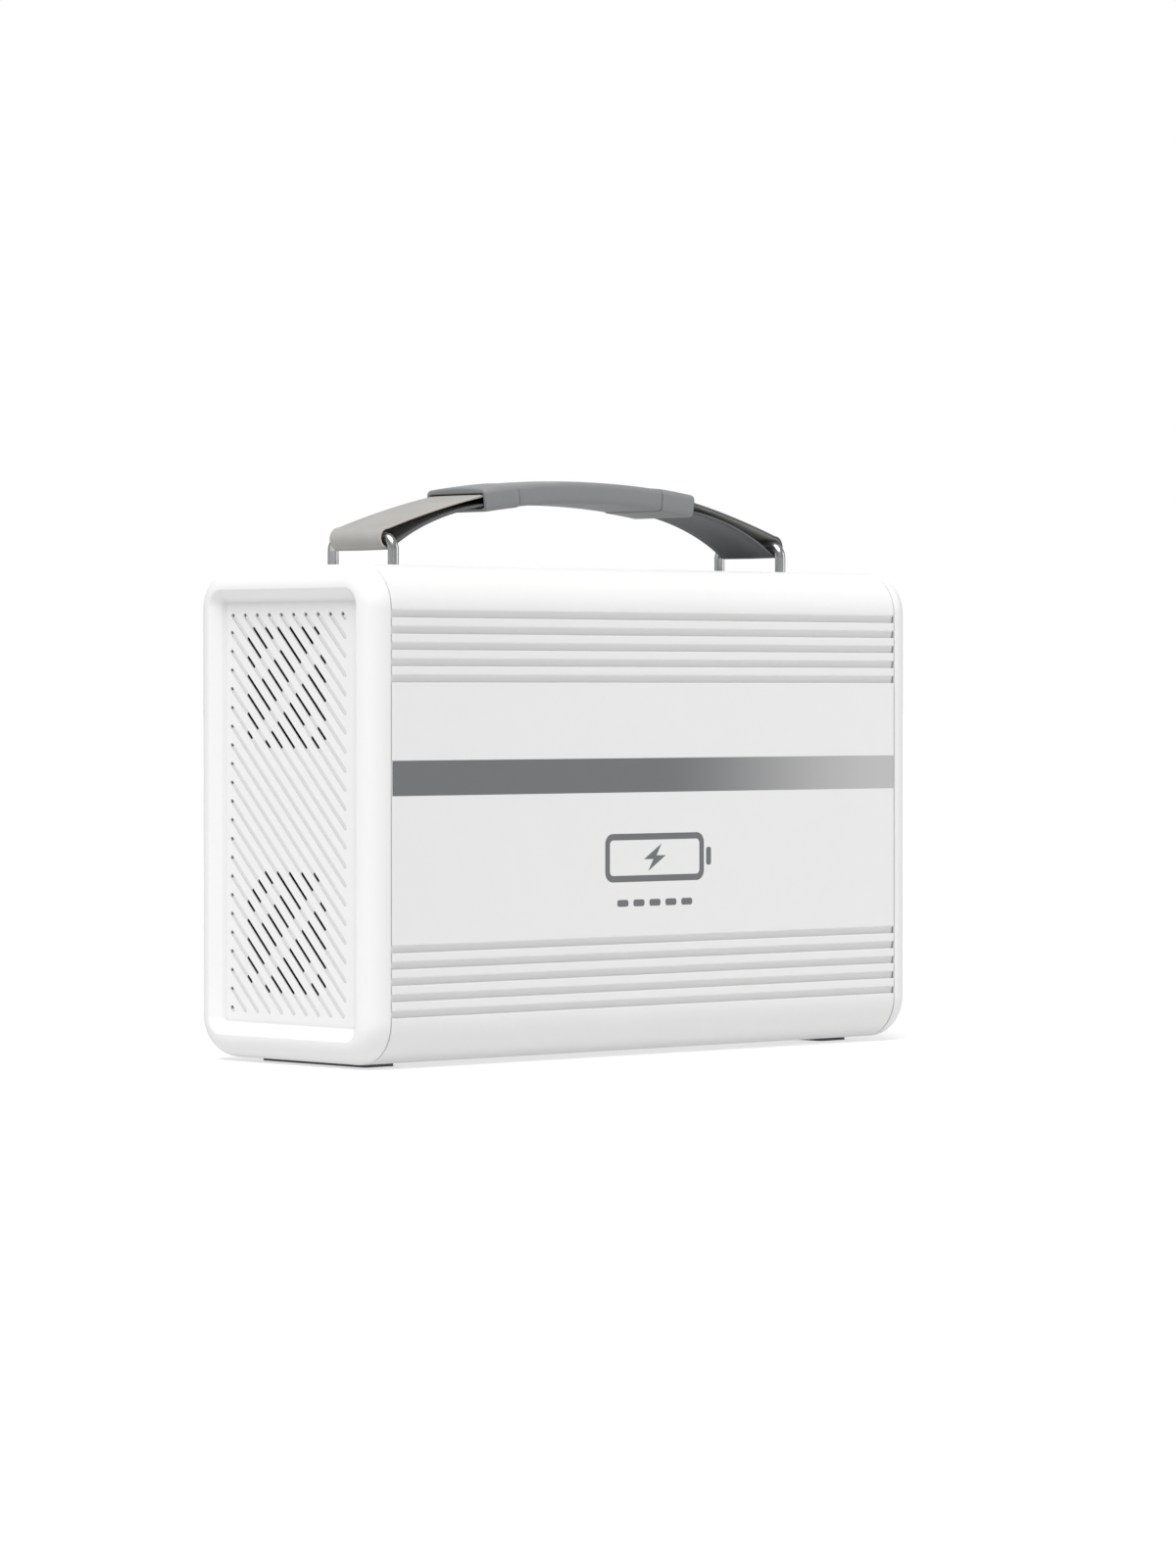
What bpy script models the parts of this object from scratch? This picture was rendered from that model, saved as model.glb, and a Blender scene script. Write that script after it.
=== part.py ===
"""Portable power station: ribbed housing, two end caps, strap handle, fans, battery and power boards.

Sizes are in millimetres and are turned into metres where each mesh is made. +X runs from the vented end
to the socket end, -Y is the front, +Z is up, and the origin is on the floor under the middle.
"""
import math

import bmesh
import bpy
from mathutils import Euler, Matrix, Vector

MM = 0.001
GAP = 0.3                      # room between two pieces that rest on each other

# Housing
SHELL_LENGTH = 345.0
SHELL_WIDTH = 134.0
SHELL_HEIGHT = 241.0
CORNER_RADIUS = 21.5
WALL = 3.0
FOOT_HEIGHT = 2.0
SHELL_TOP = FOOT_HEIGHT + SHELL_HEIGHT
SEAM = SHELL_LENGTH / 2
INNER_WIDTH = SHELL_WIDTH - 2 * WALL
LEDGE_HEIGHT = 116.0           # ledges that carry the chassis plate, above the shell's underside
LEDGE_DEPTH = 3.0
LEDGE_THICKNESS = 2.5

# Grooves and stripe on the long sides, as heights above the shell's underside
GROOVE_PITCH = 7.78
GROOVE_COUNT = 5
LOWER_GROOVES = 23.0
UPPER_GROOVES = 183.9
STRIPE_BASE = 129.5
STRIPE_HEIGHT = 17.0
STRIPE_THICKNESS = 0.6

# End caps, as insets from the shell's outline and distances out from its end
CAP_DEPTH = 13.2
CAP_EDGE_RADIUS = 11.2
FLOOR_INSET = 17.2
FLOOR_OUT = 7.5
FLOOR_THICKNESS = 2.5
SKIRT_INSET = 3.3
SKIRT_THICKNESS = 3.0
SKIRT_DEPTH = 8.0
FLOOR_FACE = SEAM + FLOOR_OUT

# Air slots: 45 degree lines z = y + SLOT_ZERO + k * SLOT_PITCH
SLOT_PITCH = 9.2
SLOT_ZERO = 175.3
SLOT_WIDTH = 2.1
RIB_GAP = 7.7
RIB_STEP = 32.8                # from one rib to the next, measured as y + z
ZONE_CHAMFER = 12.3            # what the lower zone loses at its far upper corner, measured as y + z
RIB_OFFSET = -4.4              # the middle rib's place, measured as y + z from the zone's centre

# Fans
FAN_SIZE = 60.0
FAN_DEPTH = 15.0
FAN_Y = 3.3
FAN_Z = {"upper": 183.6, "lower": 64.3}
FAN_X = -(FLOOR_FACE - FLOOR_THICKNESS - GAP - FAN_DEPTH / 2)
DUCT_RADIUS = 28.3
HUB_RADIUS = 12.0
BLADES = 7
FAN_HOLE_SPACING = 50.0

# Strap handle, as heights above the shell's top
LOOP_X = 133.3
LEG_Y = 22.6
WIRE_RADIUS = 2.75
BAR_HEIGHT = 13.8
LOOP_BEND = 6.0
LEG_BELOW = 15.0
STRAP_WIDTH = 38.0
STRAP_THICKNESS = 1.4
STRAP_SPREAD = 6.0             # over both layers
WRAP_RADIUS = 5.75
WRAP_LEAVE = 119.0             # degrees round the bar at which the lower layer leaves it
ARCH_RADIUS = 498.0
ARCH_HEIGHT = 38.4
GRIP_HALF = 71.75
GRIP_WIDTH = 44.0
GRIP_ABOVE = 6.6
GRIP_BELOW = 5.1

# Socket panel, as places (y, z) on the socket end's floor
DISPLAY = (0.0, 200.0, 62.0, 32.0)
BUTTONS = {"power": (-28.0, 170.0), "dc": (0.0, 170.0), "ac": (28.0, 170.0)}
BUTTON_RADIUS = 7.0
USB_MODULE = (0.0, 147.0, 78.0, 15.0)
CAR_SOCKET = (-27.0, 114.0)
CAR_RADIUS = 12.5
CAR_BORE = 10.6
CAR_DEPTH = 36.0
DC_JACKS = ((6.0, 114.0), (23.0, 114.0), (40.0, 114.0))
AC_SOCKETS = {"upper": (0.0, 77.5), "lower": (0.0, 40.5)}
AC_RADIUS = 15.0
LID_RADIUS = 14.5
LID_HINGE = (183.8, CAR_SOCKET[1] + 16.9)

# Battery and power stage
CELL_COUNT = 8
CELL_PITCH = 36.0
CELL_SIZE = (33.0, 100.0, 90.0)
CELL_BASE = 9.0
PACK_X = -4.0
TERMINAL_Y = 28.0
ROD_PLACES = ((-54.0, 15.0), (54.0, 15.0), (-54.0, 230.0), (54.0, 230.0))
PLATE_X = -7.0
PLATE_TOP = FOOT_HEIGHT + LEDGE_HEIGHT + LEDGE_THICKNESS + GAP + 2.0
BOARD_BASE = PLATE_TOP + 8.0

# Placing a piece drawn flat: its own X, Y and Z run along the world axes named here
FLAT = Matrix.Identity(4)
SIDE_ON = Euler((math.radians(90), 0, 0)).to_matrix().to_4x4()                       # X, Z, -Y
END_ON = Euler((math.radians(90), 0, math.radians(90))).to_matrix().to_4x4()         # Y, Z, X
VENT_END = Euler((math.radians(90), 0, math.radians(-90))).to_matrix().to_4x4()      # -Y, Z, -X
AXIS_TURNS = {"x": END_ON, "y": SIDE_ON, "z": FLAT}


# ---------------------------------------------------------------- scene and finishes

def clear_scene():
    """Remove every object, so that the script starts from nothing."""
    for obj in list(bpy.data.objects):
        bpy.data.objects.remove(obj, do_unlink=True)


def make_collection(name):
    """Return a new collection under the scene."""
    made = bpy.data.collections.new(name)
    bpy.context.scene.collection.children.link(made)
    return made


def make_finish(name, color, roughness, metallic=0.0, alpha=1.0):
    """Return a material with one Principled BSDF."""
    finish = bpy.data.materials.new(name)
    finish.use_nodes = True
    shader = finish.node_tree.nodes["Principled BSDF"]
    shader.inputs["Base Color"].default_value = (*color, 1.0)
    shader.inputs["Roughness"].default_value = roughness
    shader.inputs["Metallic"].default_value = metallic
    shader.inputs["Alpha"].default_value = alpha
    return finish


clear_scene()
PARTS = make_collection("power_station")
TOOLS = make_collection("cutters")
WHITE = make_finish("white_shell", (0.86, 0.86, 0.85), 0.45)
STRIPE_GREY = make_finish("stripe_grey", (0.16, 0.165, 0.17), 0.4)
DARK_PLASTIC = make_finish("dark_plastic", (0.05, 0.05, 0.055), 0.5)
BUTTON_GREY = make_finish("button_grey", (0.3, 0.31, 0.32), 0.5)
FOOT_RUBBER = make_finish("foot_rubber", (0.09, 0.10, 0.11), 0.8)
LID_RUBBER = make_finish("lid_rubber", (0.12, 0.12, 0.13), 0.7)
STEEL = make_finish("steel", (0.55, 0.56, 0.57), 0.3, 1.0)
WEBBING = make_finish("webbing", (0.42, 0.42, 0.41), 0.85)
GRIP_GREY = make_finish("grip_grey", (0.26, 0.26, 0.27), 0.6)
FAN_BLACK = make_finish("fan_black", (0.03, 0.03, 0.03), 0.5)
CELL_BLUE = make_finish("cell_blue", (0.05, 0.16, 0.35), 0.4)
BOARD_GREEN = make_finish("board_green", (0.03, 0.16, 0.07), 0.5)
ALUMINIUM = make_finish("aluminium", (0.7, 0.71, 0.72), 0.4, 1.0)
COPPER = make_finish("copper", (0.7, 0.36, 0.2), 0.35, 1.0)
CORE_GREY = make_finish("core_grey", (0.15, 0.15, 0.16), 0.6)
SMOKED_GLASS = make_finish("smoked_glass", (0.02, 0.025, 0.03), 0.08, 0.0, 0.6)


# ---------------------------------------------------------------- making meshes

def place(x, y, z, turn=FLAT):
    """Return a matrix that turns a piece and moves it to x, y, z millimetres."""
    return Matrix.Translation(Vector((x, y, z)) * MM) @ turn


def keep(name, mesh, finish, matrix=FLAT):
    """Add a mesh to the model as a named part."""
    obj = bpy.data.objects.new(name, mesh)
    obj.matrix_world = matrix
    if not mesh.materials:
        mesh.materials.append(finish)
    mesh.shade_smooth()
    mesh.set_sharp_from_angle(angle=math.radians(35))
    PARTS.objects.link(obj)
    return obj


def tool(name, mesh, matrix=FLAT):
    """Add a mesh that only cuts or joins: it is hidden and isn't a part."""
    obj = bpy.data.objects.new(name, mesh)
    obj.matrix_world = matrix
    obj.hide_render = True
    obj.display_type = "WIRE"
    TOOLS.objects.link(obj)
    return obj


def as_mesh(name, bm):
    """Turn a bmesh in millimetres into a mesh in metres, with its faces pointing out."""
    bmesh.ops.scale(bm, vec=(MM, MM, MM), verts=bm.verts)
    bmesh.ops.recalc_face_normals(bm, faces=bm.faces)
    mesh = bpy.data.meshes.new(name)
    bm.to_mesh(mesh)
    bm.free()
    return mesh


def put_box(bm, size, centre, turn=FLAT):
    """Add a box to a bmesh."""
    matrix = Matrix.Translation(centre) @ turn @ Matrix.Diagonal((*size, 1.0))
    bmesh.ops.create_cube(bm, size=1.0, matrix=matrix)


def put_rod(bm, radius, length, centre, axis="z", sides=24):
    """Add a capped cylinder to a bmesh."""
    matrix = Matrix.Translation(centre) @ AXIS_TURNS[axis]
    bmesh.ops.create_cone(
        bm, cap_ends=True, segments=sides, radius1=radius, radius2=radius, depth=length, matrix=matrix
    )


def boxes(name, entries):
    """Return one mesh of separate boxes, each given as (size, centre)."""
    bm = bmesh.new()
    for size, centre in entries:
        put_box(bm, size, centre)
    return as_mesh(name, bm)


def rods(name, entries, axis="z", sides=24):
    """Return one mesh of separate cylinders, each given as (radius, length, centre)."""
    bm = bmesh.new()
    for radius, length, centre in entries:
        put_rod(bm, radius, length, centre, axis, sides)
    return as_mesh(name, bm)


def baked(obj):
    """Return the mesh that an object's modifiers make, and remove the object."""
    bpy.context.view_layer.update()
    graph = bpy.context.evaluated_depsgraph_get()
    mesh = bpy.data.meshes.new_from_object(obj.evaluated_get(graph))
    bm = bmesh.new()
    bm.from_mesh(mesh)
    bmesh.ops.remove_doubles(bm, verts=bm.verts, dist=0.005 * MM)
    bmesh.ops.recalc_face_normals(bm, faces=bm.faces)
    bm.to_mesh(mesh)
    bm.free()
    bpy.data.objects.remove(obj, do_unlink=True)
    return mesh


def curve_object(name, loops, cyclic):
    """Return a curve object with one straight-sided spline for each loop of (x, y, z) points."""
    curve = bpy.data.curves.new(name, "CURVE")
    for loop in loops:
        spline = curve.splines.new("POLY")
        spline.points.add(len(loop) - 1)
        spline.use_cyclic_u = cyclic
        for point, (x, y, z) in zip(spline.points, loop):
            point.co = (x * MM, y * MM, z * MM, 1.0)
    obj = bpy.data.objects.new(name, curve)
    TOOLS.objects.link(obj)
    return obj


def outline(name, loops, thickness):
    """Return the mesh of a flat outline with its holes, thickened both ways along its own Z."""
    obj = curve_object(name, [[(x, y, 0.0) for x, y in loop] for loop in loops], cyclic=True)
    obj.data.dimensions = "2D"
    obj.data.fill_mode = "BOTH"
    obj.data.extrude = thickness / 2 * MM
    return baked(obj)


def wire(name, points, radius):
    """Return the mesh of a round wire along points, eight-sided and closed at both ends."""
    obj = curve_object(name, [points], cyclic=False)
    obj.data.dimensions = "3D"
    obj.data.bevel_depth = radius * MM
    obj.data.bevel_resolution = 2
    obj.data.use_fill_caps = True
    return baked(obj)


def turned(name, profile, sides=24):
    """Return the mesh of a profile of (radius, height) points turned about its own Z."""
    mesh = bpy.data.meshes.new(name)
    verts = [(radius * MM, 0.0, height * MM) for radius, height in profile]
    mesh.from_pydata(verts, [(i, i + 1) for i in range(len(verts) - 1)], [])
    obj = bpy.data.objects.new(name, mesh)
    TOOLS.objects.link(obj)
    screw = obj.modifiers.new("turn", "SCREW")
    screw.steps = sides
    screw.render_steps = sides
    screw.use_merge_vertices = True
    screw.merge_threshold = 0.01 * MM
    return baked(obj)


def boolean(obj, other, operation="DIFFERENCE"):
    """Cut a tool from an object, or join it on."""
    modifier = obj.modifiers.new(operation.lower(), "BOOLEAN")
    modifier.operation = operation
    modifier.solver = "EXACT"
    modifier.object = other


def bevel(obj, width, segments=1, angle=50.0):
    """Round an object's edges that are sharper than an angle."""
    modifier = obj.modifiers.new("bevel", "BEVEL")
    modifier.width = width * MM
    modifier.segments = segments
    modifier.limit_method = "ANGLE"
    modifier.angle_limit = math.radians(angle)


def arc(cx, cy, radius, start, end, steps):
    """Return points round an arc, in degrees, with both ends."""
    points = []
    for i in range(steps + 1):
        angle = math.radians(start + (end - start) * i / steps)
        points.append((cx + radius * math.cos(angle), cy + radius * math.sin(angle)))
    return points


def circle(cx, cy, radius, sides):
    """Return the points of a circle."""
    return arc(cx, cy, radius, 0.0, 360.0, sides)[:-1]


def rounded_rectangle(width, height, radius, steps=6):
    """Return the points of a rounded rectangle about its centre."""
    x = width / 2 - radius
    y = height / 2 - radius
    corners = ((x, -y, -90.0), (x, y, 0.0), (-x, y, 90.0), (-x, -y, 180.0))
    return [p for cx, cy, start in corners for p in arc(cx, cy, radius, start, start + 90.0, steps)]


# ---------------------------------------------------------------- housing

def groove(base):
    """Return one groove's (inset, height) points: a sharp lower lip and a slow rise to the upper edge."""
    return [(0.0, base), (1.6, base + 0.7), (1.3, base + 2.0), (0.6, base + 3.3), (0.0, base + 4.2)]


def side_wall():
    """Return the (inset, height) points up one long side: grooves, the stripe's channel, grooves."""
    depth = STRIPE_THICKNESS + GAP
    stripe_top = STRIPE_BASE + STRIPE_HEIGHT
    points = [p for i in range(GROOVE_COUNT) for p in groove(LOWER_GROOVES + i * GROOVE_PITCH)]
    points += [(0.0, STRIPE_BASE), (depth, STRIPE_BASE), (depth, stripe_top), (0.0, stripe_top)]
    points += [p for i in range(GROOVE_COUNT) for p in groove(UPPER_GROOVES + i * GROOVE_PITCH)]
    return points


def shell_outer():
    """Return the housing's outer outline as (y, height) points."""
    half = SHELL_WIDTH / 2
    near = half - CORNER_RADIUS
    high = SHELL_HEIGHT - CORNER_RADIUS
    right = [(half - inset, z) for inset, z in side_wall()]
    left = [(-y, z) for y, z in reversed(right)]
    return (
        arc(near, CORNER_RADIUS, CORNER_RADIUS, -90, 0, 7) + right
        + arc(near, high, CORNER_RADIUS, 0, 90, 7) + arc(-near, high, CORNER_RADIUS, 90, 180, 7)
        + left + arc(-near, CORNER_RADIUS, CORNER_RADIUS, 180, 270, 7)
    )


def shell_inner():
    """Return the housing's inner outline, with the two ledges, as (y, height) points."""
    half = INNER_WIDTH / 2
    radius = CORNER_RADIUS - WALL
    low = WALL + radius
    high = SHELL_HEIGHT - WALL - radius
    ledge = [
        (half, LEDGE_HEIGHT), (half - LEDGE_DEPTH, LEDGE_HEIGHT),
        (half - LEDGE_DEPTH, LEDGE_HEIGHT + LEDGE_THICKNESS), (half, LEDGE_HEIGHT + LEDGE_THICKNESS),
    ]
    near = half - radius
    return (
        arc(near, low, radius, -90, 0, 5) + ledge + arc(near, high, radius, 0, 90, 5)
        + arc(-near, high, radius, 90, 180, 5) + [(-y, z) for y, z in reversed(ledge)]
        + arc(-near, low, radius, 180, 270, 5)
    )


def make_housing():
    """The extruded shell, its printed stripes and its feet."""
    mesh = outline("housing_shell", [shell_outer(), shell_inner()], SHELL_LENGTH)
    shell = keep("housing_shell", mesh, WHITE, place(0, 0, FOOT_HEIGHT, END_ON))
    holes = [(WIRE_RADIUS + GAP, 12.0, (x, y, SHELL_TOP)) for x in (-LOOP_X, LOOP_X) for y in (-LEG_Y, LEG_Y)]
    boolean(shell, tool("leg_holes", rods("leg_holes", holes, sides=16)))
    stripe_z = FOOT_HEIGHT + STRIPE_BASE + STRIPE_HEIGHT / 2
    stripe_y = SHELL_WIDTH / 2 - STRIPE_THICKNESS / 2
    size = (SHELL_LENGTH, STRIPE_THICKNESS, STRIPE_HEIGHT - 2 * GAP)
    for name, y in (("stripe_front", -stripe_y), ("stripe_back", stripe_y)):
        keep(name, boxes(name, [(size, (0, y, stripe_z))]), STRIPE_GREY)
    for name, x in (("foot_vent_end", -156.0), ("foot_socket_end", 156.0)):
        height = FOOT_HEIGHT - GAP
        pad = boxes(name, [((19.0, 78.0, height), (0, 0, height / 2))])
        foot = keep(name, pad, FOOT_RUBBER, place(x, 0, 0))
        bevel(foot, 0.4)


# ---------------------------------------------------------------- end caps

def cap_profile():
    """Return the cap's (inset, distance out) points, from its inner face over the rim to its floor."""
    inner = FLOOR_OUT - FLOOR_THICKNESS
    skirt_inner = SKIRT_INSET + SKIRT_THICKNESS
    rim_base = CAP_DEPTH - CAP_EDGE_RADIUS
    points = [(skirt_inner + 4.0, inner), (skirt_inner, inner), (skirt_inner, -SKIRT_DEPTH)]
    points += [(SKIRT_INSET, -SKIRT_DEPTH), (SKIRT_INSET, GAP), (0.0, GAP)]
    points += arc(CAP_EDGE_RADIUS, rim_base, CAP_EDGE_RADIUS, 180, 90, 6)
    points += [(CAP_EDGE_RADIUS + 0.5, CAP_DEPTH - 0.3), (FLOOR_INSET, FLOOR_OUT)]
    return points


def cap_mesh(name):
    """Return an end cap: rounded rectangles of changing inset, joined ring by ring and closed."""
    bm = bmesh.new()
    rings = []
    for inset, out in cap_profile():
        radius = max(CORNER_RADIUS - inset, 3.0)
        loop = rounded_rectangle(SHELL_WIDTH - 2 * inset, SHELL_HEIGHT - 2 * inset, radius)
        rings.append([bm.verts.new((x, y, out)) for x, y in loop])
    for lower, upper in zip(rings, rings[1:]):
        count = len(lower)
        for i in range(count):
            j = (i + 1) % count
            bm.faces.new((lower[i], lower[j], upper[j], upper[i]))
    bm.faces.new(rings[0])
    bm.faces.new(rings[-1])
    return as_mesh(name, bm)


def slot_stretches(zone_z, chamfered):
    """Return the open stretches of the air slots in one fan zone, as (k, from, to) in y."""
    half = FAN_SIZE / 2 - 0.3
    first = math.ceil((zone_z - 2 * half - FAN_Y - SLOT_ZERO) / SLOT_PITCH)
    last = math.floor((zone_z + 2 * half - FAN_Y - SLOT_ZERO) / SLOT_PITCH)
    middle = math.floor((zone_z - FAN_Y - SLOT_ZERO) / SLOT_PITCH)
    stretches = []
    for k in range(first, last + 1):
        rise = SLOT_ZERO + k * SLOT_PITCH
        low = max(FAN_Y - half, zone_z - half - rise)
        high = min(FAN_Y + half, zone_z + half - rise)
        if chamfered:
            high = min(high, (zone_z + FAN_Y + 2 * half - ZONE_CHAMFER - rise) / 2)
        ribs = [0]
        if -2 < k - middle <= 2:
            ribs.append(1)
        if 0 <= k - middle <= 1:
            ribs.append(-1)
        start = low
        for rib in sorted(ribs):
            centre = (zone_z + FAN_Y + RIB_OFFSET + rib * RIB_STEP - rise) / 2
            cut = RIB_GAP / 2 / math.sqrt(2)
            stretches.append((k, start, min(high, centre - cut)))
            start = max(start, centre + cut)
        stretches.append((k, start, high))
    return [s for s in stretches if s[2] - s[1] > SLOT_WIDTH]


def slot_cutter(name, zone_z, chamfered):
    """Return the mesh that cuts one fan zone's slots through the floor."""
    bm = bmesh.new()
    turn = Euler((math.radians(45), 0, 0)).to_matrix().to_4x4()
    for k, start, end in slot_stretches(zone_z, chamfered):
        y = (start + end) / 2
        size = (3 * FLOOR_THICKNESS, (end - start) * math.sqrt(2), SLOT_WIDTH)
        put_box(bm, size, (-(FLOOR_FACE - FLOOR_THICKNESS / 2), y, y + SLOT_ZERO + k * SLOT_PITCH), turn)
    return as_mesh(name, bm)


def make_cap(name, end, turn):
    """One end cap, its skirt notched where the shell's two ledges run."""
    cap = keep(name, cap_mesh(name), WHITE, place(end * SEAM, 0, FOOT_HEIGHT + SHELL_HEIGHT / 2, turn))
    height = LEDGE_THICKNESS + 4 * GAP
    z = FOOT_HEIGHT + LEDGE_HEIGHT + LEDGE_THICKNESS / 2
    y = INNER_WIDTH / 2 - LEDGE_DEPTH / 2
    size = (SKIRT_DEPTH + 2.0, 2 * LEDGE_DEPTH, height)
    notches = [(size, (end * (SEAM - 4.5), side * y, z)) for side in (-1, 1)]
    boolean(cap, tool(name + "_notches", boxes("notches", notches)))
    return cap


def make_vent_cap():
    """The vented end's cap, with slots cut through in front of each fan."""
    cap = make_cap("vent_cap", -1, VENT_END)
    for name, z in FAN_Z.items():
        cutter = "slots_" + name
        boolean(cap, tool(cutter, slot_cutter(cutter, z, name == "lower")))


def make_socket_cap():
    """The socket end's cap, with a hole for each display, button and socket."""
    cap = make_cap("socket_cap", 1, END_ON)
    bm = bmesh.new()
    x = FLOOR_FACE - FLOOR_THICKNESS / 2
    depth = 3 * FLOOR_THICKNESS
    for y, z, width, height in (DISPLAY, USB_MODULE):
        put_box(bm, (depth, width + 2 * GAP, height + 2 * GAP), (x, y, z))
    for y, z in BUTTONS.values():
        put_rod(bm, BUTTON_RADIUS + 0.4, depth, (x, y, z), "x")
    put_rod(bm, CAR_RADIUS + GAP, depth, (x, *CAR_SOCKET), "x")
    for y, z in DC_JACKS:
        put_rod(bm, 5.0 + GAP, depth, (x, y, z), "x", 16)
    for y, z in AC_SOCKETS.values():
        put_rod(bm, AC_RADIUS + GAP, depth, (x, y, z), "x", 32)
    boolean(cap, tool("socket_holes", as_mesh("socket_holes", bm)))


# ---------------------------------------------------------------- handle

def arch(x):
    """Return the height of the handle's middle line at x."""
    return SHELL_TOP + ARCH_HEIGHT - (ARCH_RADIUS - math.sqrt(ARCH_RADIUS ** 2 - x ** 2))


def bezier(p0, p1, p2, p3, steps):
    """Return points along a cubic curve, without its last one."""
    points = []
    for i in range(steps):
        t = i / steps
        a, b, c, d = (1 - t) ** 3, 3 * t * (1 - t) ** 2, 3 * t * t * (1 - t), t ** 3
        points.append(tuple(a * q0 + b * q1 + c * q2 + d * q3 for q0, q1, q2, q3 in zip(p0, p1, p2, p3)))
    return points


def strap_path():
    """Return the strap's closed middle line as (x, z) points, over the grip and back under it."""
    half = (STRAP_SPREAD - STRAP_THICKNESS) / 2
    radius = WRAP_RADIUS - STRAP_THICKNESS / 2
    bar = SHELL_TOP + BAR_HEIGHT
    leave = math.radians(-WRAP_LEAVE)
    foot = (LOOP_X + radius * math.cos(leave), bar + radius * math.sin(leave))
    upper = bezier(
        (GRIP_HALF, arch(GRIP_HALF) + half), (92.0, SHELL_TOP + 32.0),
        (118.0, SHELL_TOP + 24.0), (LOOP_X, bar + radius), 6,
    )
    wrap = arc(LOOP_X, bar, radius, 90, -WRAP_LEAVE, 9)[:-1]
    lower = bezier(
        foot, (119.0, SHELL_TOP + 18.0), (98.0, SHELL_TOP + 27.3), (GRIP_HALF, arch(GRIP_HALF) - half), 6
    )
    inside = [i * GRIP_HALF / 3 for i in (0, 1, 2)]
    right = [(x, arch(x) + half) for x in inside] + upper + wrap + lower
    right += [(x, arch(x) - half) for x in [GRIP_HALF] + inside[:0:-1]]
    left = [(-x, z) for x, z in reversed(right[1:])]
    return right + [(0.0, arch(0.0) - half)] + left


def make_handle():
    """The two wire loops, the strap that runs round both, and the moulded grip."""
    for name, x in (("strap_loop_vent_end", -LOOP_X), ("strap_loop_socket_end", LOOP_X)):
        bar = SHELL_TOP + BAR_HEIGHT
        bend = arc(LEG_Y - LOOP_BEND, bar - LOOP_BEND, LOOP_BEND, 0, 90, 4)
        half = [(x, LEG_Y, SHELL_TOP - LEG_BELOW)] + [(x, y, z) for y, z in bend]
        points = half + [(x, -y, z) for x, y, z in reversed(half)]
        keep(name, wire(name, points, WIRE_RADIUS), STEEL)
    for name, x in (("anchor_plate_vent_end", -LOOP_X), ("anchor_plate_socket_end", LOOP_X)):
        top = SHELL_TOP - WALL - GAP
        plate = keep(name, boxes(name, [((20.0, 62.0, 3.0), (x, 0, top - 1.5))]), STEEL)
        nuts = rods("nuts", [(4.9, 6.5, (x, y, top - 4.0)) for y in (-LEG_Y, LEG_Y)], sides=6)
        boolean(plate, tool(name + "_nuts", nuts), "UNION")
        holes = rods("holes", [(WIRE_RADIUS + GAP, 20.0, (x, y, top)) for y in (-LEG_Y, LEG_Y)], sides=12)
        boolean(plate, tool(name + "_holes", holes))
    make_strap()
    make_grip()


def make_strap():
    """The webbing: its path drawn as a ribbon and thickened."""
    bm = bmesh.new()
    near = [bm.verts.new((x, -STRAP_WIDTH / 2, z)) for x, z in strap_path()]
    edges = [bm.edges.new((a, b)) for a, b in zip(near, near[1:] + near[:1])]
    ribbon = bmesh.ops.extrude_edge_only(bm, edges=edges)["geom"]
    far = [item for item in ribbon if isinstance(item, bmesh.types.BMVert)]
    bmesh.ops.translate(bm, verts=far, vec=(0, STRAP_WIDTH, 0))
    strap = keep("carry_strap", as_mesh("carry_strap", bm), WEBBING)
    thick = strap.modifiers.new("thickness", "SOLIDIFY")
    thick.thickness = STRAP_THICKNESS * MM
    thick.offset = 0.0
    thick.use_even_offset = True


def arch_band(half, above, below, steps):
    """Return the side outline of a band along the handle's arch, as (x, z) points."""
    xs = [-half + 2 * half * i / steps for i in range(steps + 1)]
    middle = arch(0.0)
    return [(x, arch(x) - middle - below) for x in xs] + [(x, arch(x) - middle + above) for x in reversed(xs)]


def make_grip():
    """The grip: an arched sleeve with a flat way through it for both layers of the strap."""
    mesh = outline("handle_grip", [arch_band(GRIP_HALF, GRIP_ABOVE, GRIP_BELOW, 8)], GRIP_WIDTH)
    grip = keep("handle_grip", mesh, GRIP_GREY, place(0, 0, arch(0.0), SIDE_ON))
    bevel(grip, 2.4, 2)
    room = STRAP_SPREAD / 2 + 0.6
    way = outline("strap_way", [arch_band(GRIP_HALF + 3.0, room, room, 8)], STRAP_WIDTH + 1.4)
    boolean(grip, tool("strap_way", way, place(0, 0, arch(0.0), SIDE_ON)))


# ---------------------------------------------------------------- fans

def spider(hub, reach, width, arms):
    """Return the outline of a round hub with straight arms."""
    points = []
    turn = math.degrees(math.asin(width / 2 / hub))
    tip = math.degrees(math.asin(width / 2 / reach))
    for i in range(arms):
        middle = 45.0 + i * 360.0 / arms
        points += arc(0, 0, reach, middle - tip, middle + tip, 1)
        points += arc(0, 0, hub, middle + turn, middle + 360.0 / arms - turn, 4)
    return points


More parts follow.
